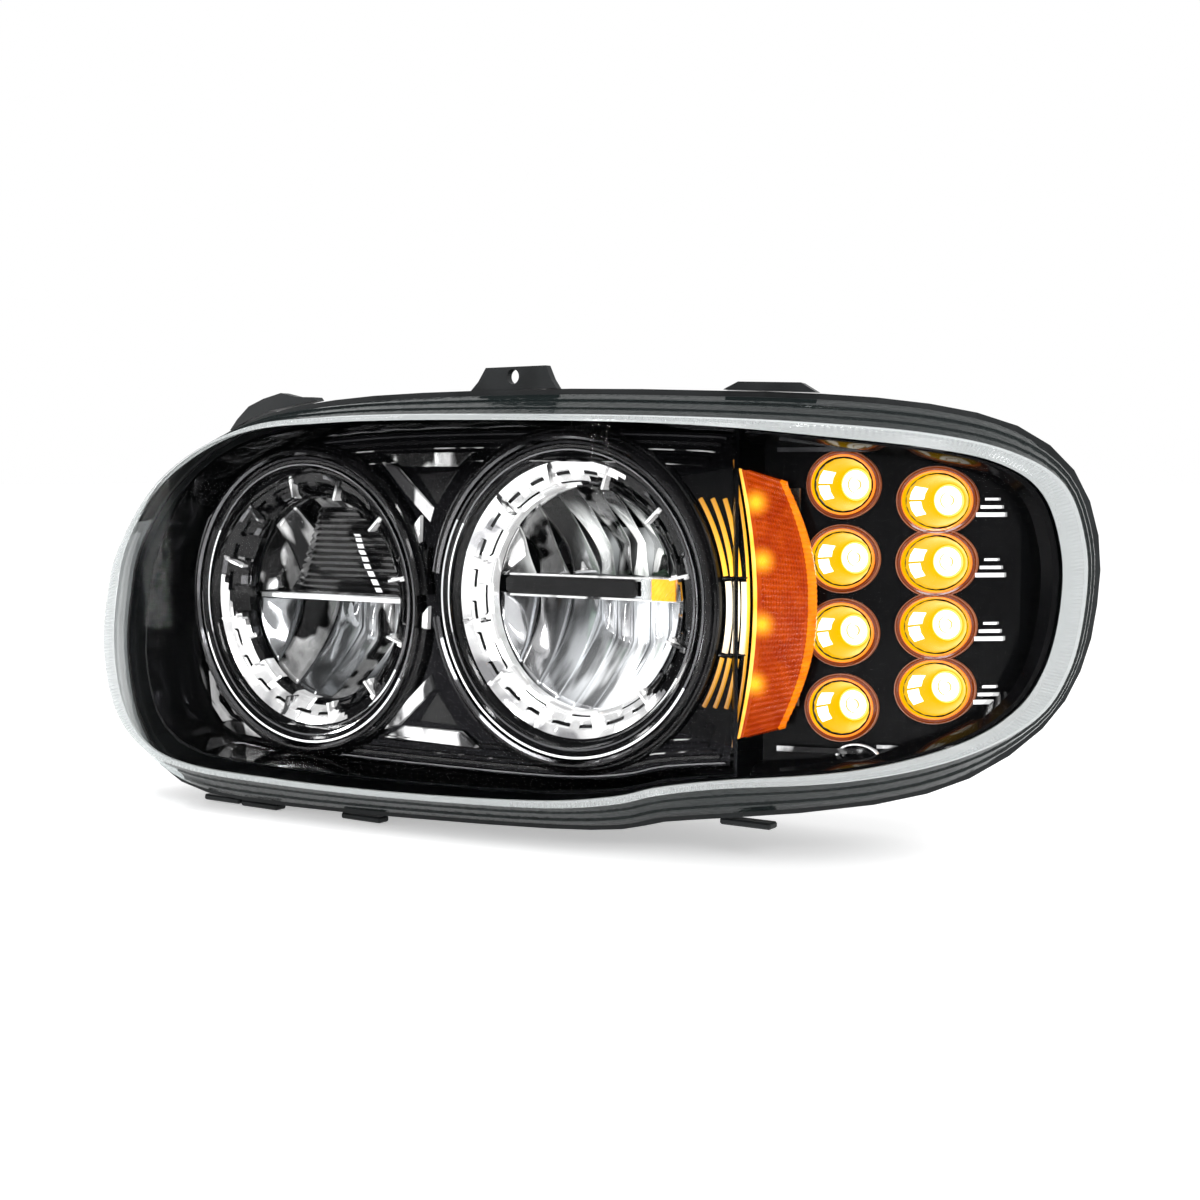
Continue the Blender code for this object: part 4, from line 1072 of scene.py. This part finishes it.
AMBER_TOOTH = marker_amber("amber_tooth", (0.60, 0.11, 0.001), (0.90, 0.30, 0.006), 0.26)
# painted glow: amber emission on the plated wall bars, fading with distance from the side marker
WALL_PAINTED_GLOW = glowing("wall_painted_glow", (1.0, 0.42, 0.01), (1.0, 0.93, 0.72), 2.4, (218, -160, 0), 70,
                   base=(0.30, 0.28, 0.25), rough=0.08)
WALL_PAINTED_AMBER_GLOW = glowing("wall_painted_amber_glow", (1.0, 0.30, 0.0), (1.0, 0.55, 0.04), 2.3, (220, -160, 10), 110,
                     base=(0.10, 0.08, 0.06), rough=0.08)
POSITION_LIT = marker_amber("position_amber", (0.95, 0.40, 0.02), (1.0, 0.60, 0.08), 0.55)
# painted glow: white emission on the high beam's bar line and strip, fading from the beam's middle
BAR_PAINTED_GLOW = glowing("bar_painted_glow", (0.9, 0.93, 0.95), (1, 1, 1), 0.75, (-107, -133, -8), 120,
                  base=(0.9, 0.9, 0.9))

build_lens()
# arcs in degrees where each ring's band shows its painted reflection
trim_ring("high_beam", "high_beam_trim", [(170, 292)])
trim_ring("low_beam", "low_beam_trim", [(62, 322)])

# painted light: the reflector facets glow by emission, hottest at a given spot and broken into streaks, in
# place of the lamp light they would reflect
LOW_PAINTED_GLOW = glowing("low_beam_lit", (0.9, 0.95, 1.0), (1, 1, 1), 2.6, (126, -111, -38), 80,
                  base=(0.75, 0.76, 0.78), streak=110)
LOW_PAINTED_GLOW_B = glowing("low_beam_lit_b", (0.9, 0.95, 1.0), (1, 1, 1), 2.2, (122, -111, -42), 76,
                    base=(0.45, 0.45, 0.46), streak=110)
HIGH_PAINTED_GLOW = glowing("high_beam_lit", (0.85, 0.9, 0.95), (1, 1, 1), 1.9, (-102, -95, -28), 48,
                   base=(0.35, 0.36, 0.37), streak=110)
UPPER_LOW_PAINTED_GLOW = glowing("low_beam_upper", (0.86, 0.9, 0.9), (1, 1, 0.97), 3.0, (68, -103, 28), 44,
                    base=(0.6, 0.6, 0.6), streak=110)
UPPER_LOW_PAINTED_GLOW_B = glowing("low_beam_upper_b", (0.86, 0.9, 0.9), (1, 1, 0.97), 3.0, (106, -86, 28), 42,
                      base=(0.6, 0.6, 0.6), streak=110)
low_strips = [-73, -58, -44, -30, -17, -5, 8, 22, 36, 50, 62, 73]
# facets take their looks in turn, mixing brighter and dimmer copies of the painted glow and painted
# reflection
faceted_half("low_beam_lower_facets", "low_beam", False, low_strips, 3.4, 1.5,
             [LOW_PAINTED_GLOW, LOW_PAINTED_GLOW_B, LOW_PAINTED_GLOW], ("low_beam_reflector_lower",))
faceted_half("low_beam_upper_blades", "low_beam", True, low_strips, 1.5, 6.0,
             [UPPER_LOW_PAINTED_GLOW, PAINTED_MIRROR_DIM, UPPER_LOW_PAINTED_GLOW_B], ("low_beam_reflector_upper",))
high_strips = [-73, -55, -38, -22, -7, 9, 25, 41, 57, 73]
faceted_half("high_beam_lower_facets", "high_beam", False, high_strips, 3.0, 1.0,
             [HIGH_PAINTED_GLOW, PAINTED_MIRROR_DIM, HIGH_PAINTED_GLOW], ("high_beam_reflector_lower",))
faceted_half("high_beam_upper_facets", "high_beam", True, high_strips, 1.6, 1.0,
             [PAINTED_MIRROR_DIM, PAINTED_MIRROR_TALL, DARK_CHROME], ("high_beam_reflector_upper",))
staircase("high_beam_staircase", "high_beam", BLACK_GLOSS)
mirror_strip("high_beam_strip", "high_beam", [(20, 36), (24, 25), (31, 11), (40, -4)], 5.2, BAR_PAINTED_GLOW)

divider_trim()
bezel_dressing()
turn_surround()
turn_details()
lit_wall()

index = 0
for column, x in enumerate(COLUMN_X):
    for z in COLUMN_Z[column]:
        index += 1
        foot = lens_front(x) + PANEL_DEPTH + CUP_BACK
        # painted glow: each dark gold liner gives off amber emission, centred on its foot
        CUP_GOLD_PAINTED_GLOW[index] = glowing(f"cup_gold_painted_glow_{index}", (1.0, 0.42, 0.0), (1.0, 0.56, 0.0), 1.0, (x, foot, z),
                                  400, base=(0.10, 0.05, 0.0), rough=0.35, metallic=1.0)
        cup(index, x, z)
reflex()

NODE_LOOKS = (
    (HOUSING, ["rear_housing", "connector_inlet", "vent_cap", "top_mount_tab", "top_clip_block",
               "inboard_bracket", "lower_tab_1", "lower_tab_2", "lower_tab_3", "lower_tab_4", "aim_carrier"]),
    (DARK_CHROME, ["main_bezel"]),
    (PANEL_BLACK, ["turn_bezel", "low_beam_divider"]),
    (CHROME, ["high_beam_divider"]),
    (STEEL, ["pivot_pin_inboard", "pivot_pin_outboard", "pivot_bracket", "adjuster_screw", "adjuster_clip",
             "mounting_stud_1", "mounting_stud_2", "mounting_stud_3"]),
    (ALUMINIUM, ["high_beam_heat_sink", "low_beam_heat_sink", "driver_module"]),
    (BOARD, ["high_beam_board", "low_beam_board", "turn_board_inner", "turn_board_outer"]),
    (BLACK_BOARD, ["marker_board"]),
    (NYLON, ["adjuster_nut", "adjuster_bush"]),
    (RUBBER, ["lens_seal", "supply_lead", "beam_lead", "turn_lead"]),
)
for look, names in NODE_LOOKS:
    for node in names:
        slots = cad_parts[node].data.materials
        slots.clear()
        slots.append(look)
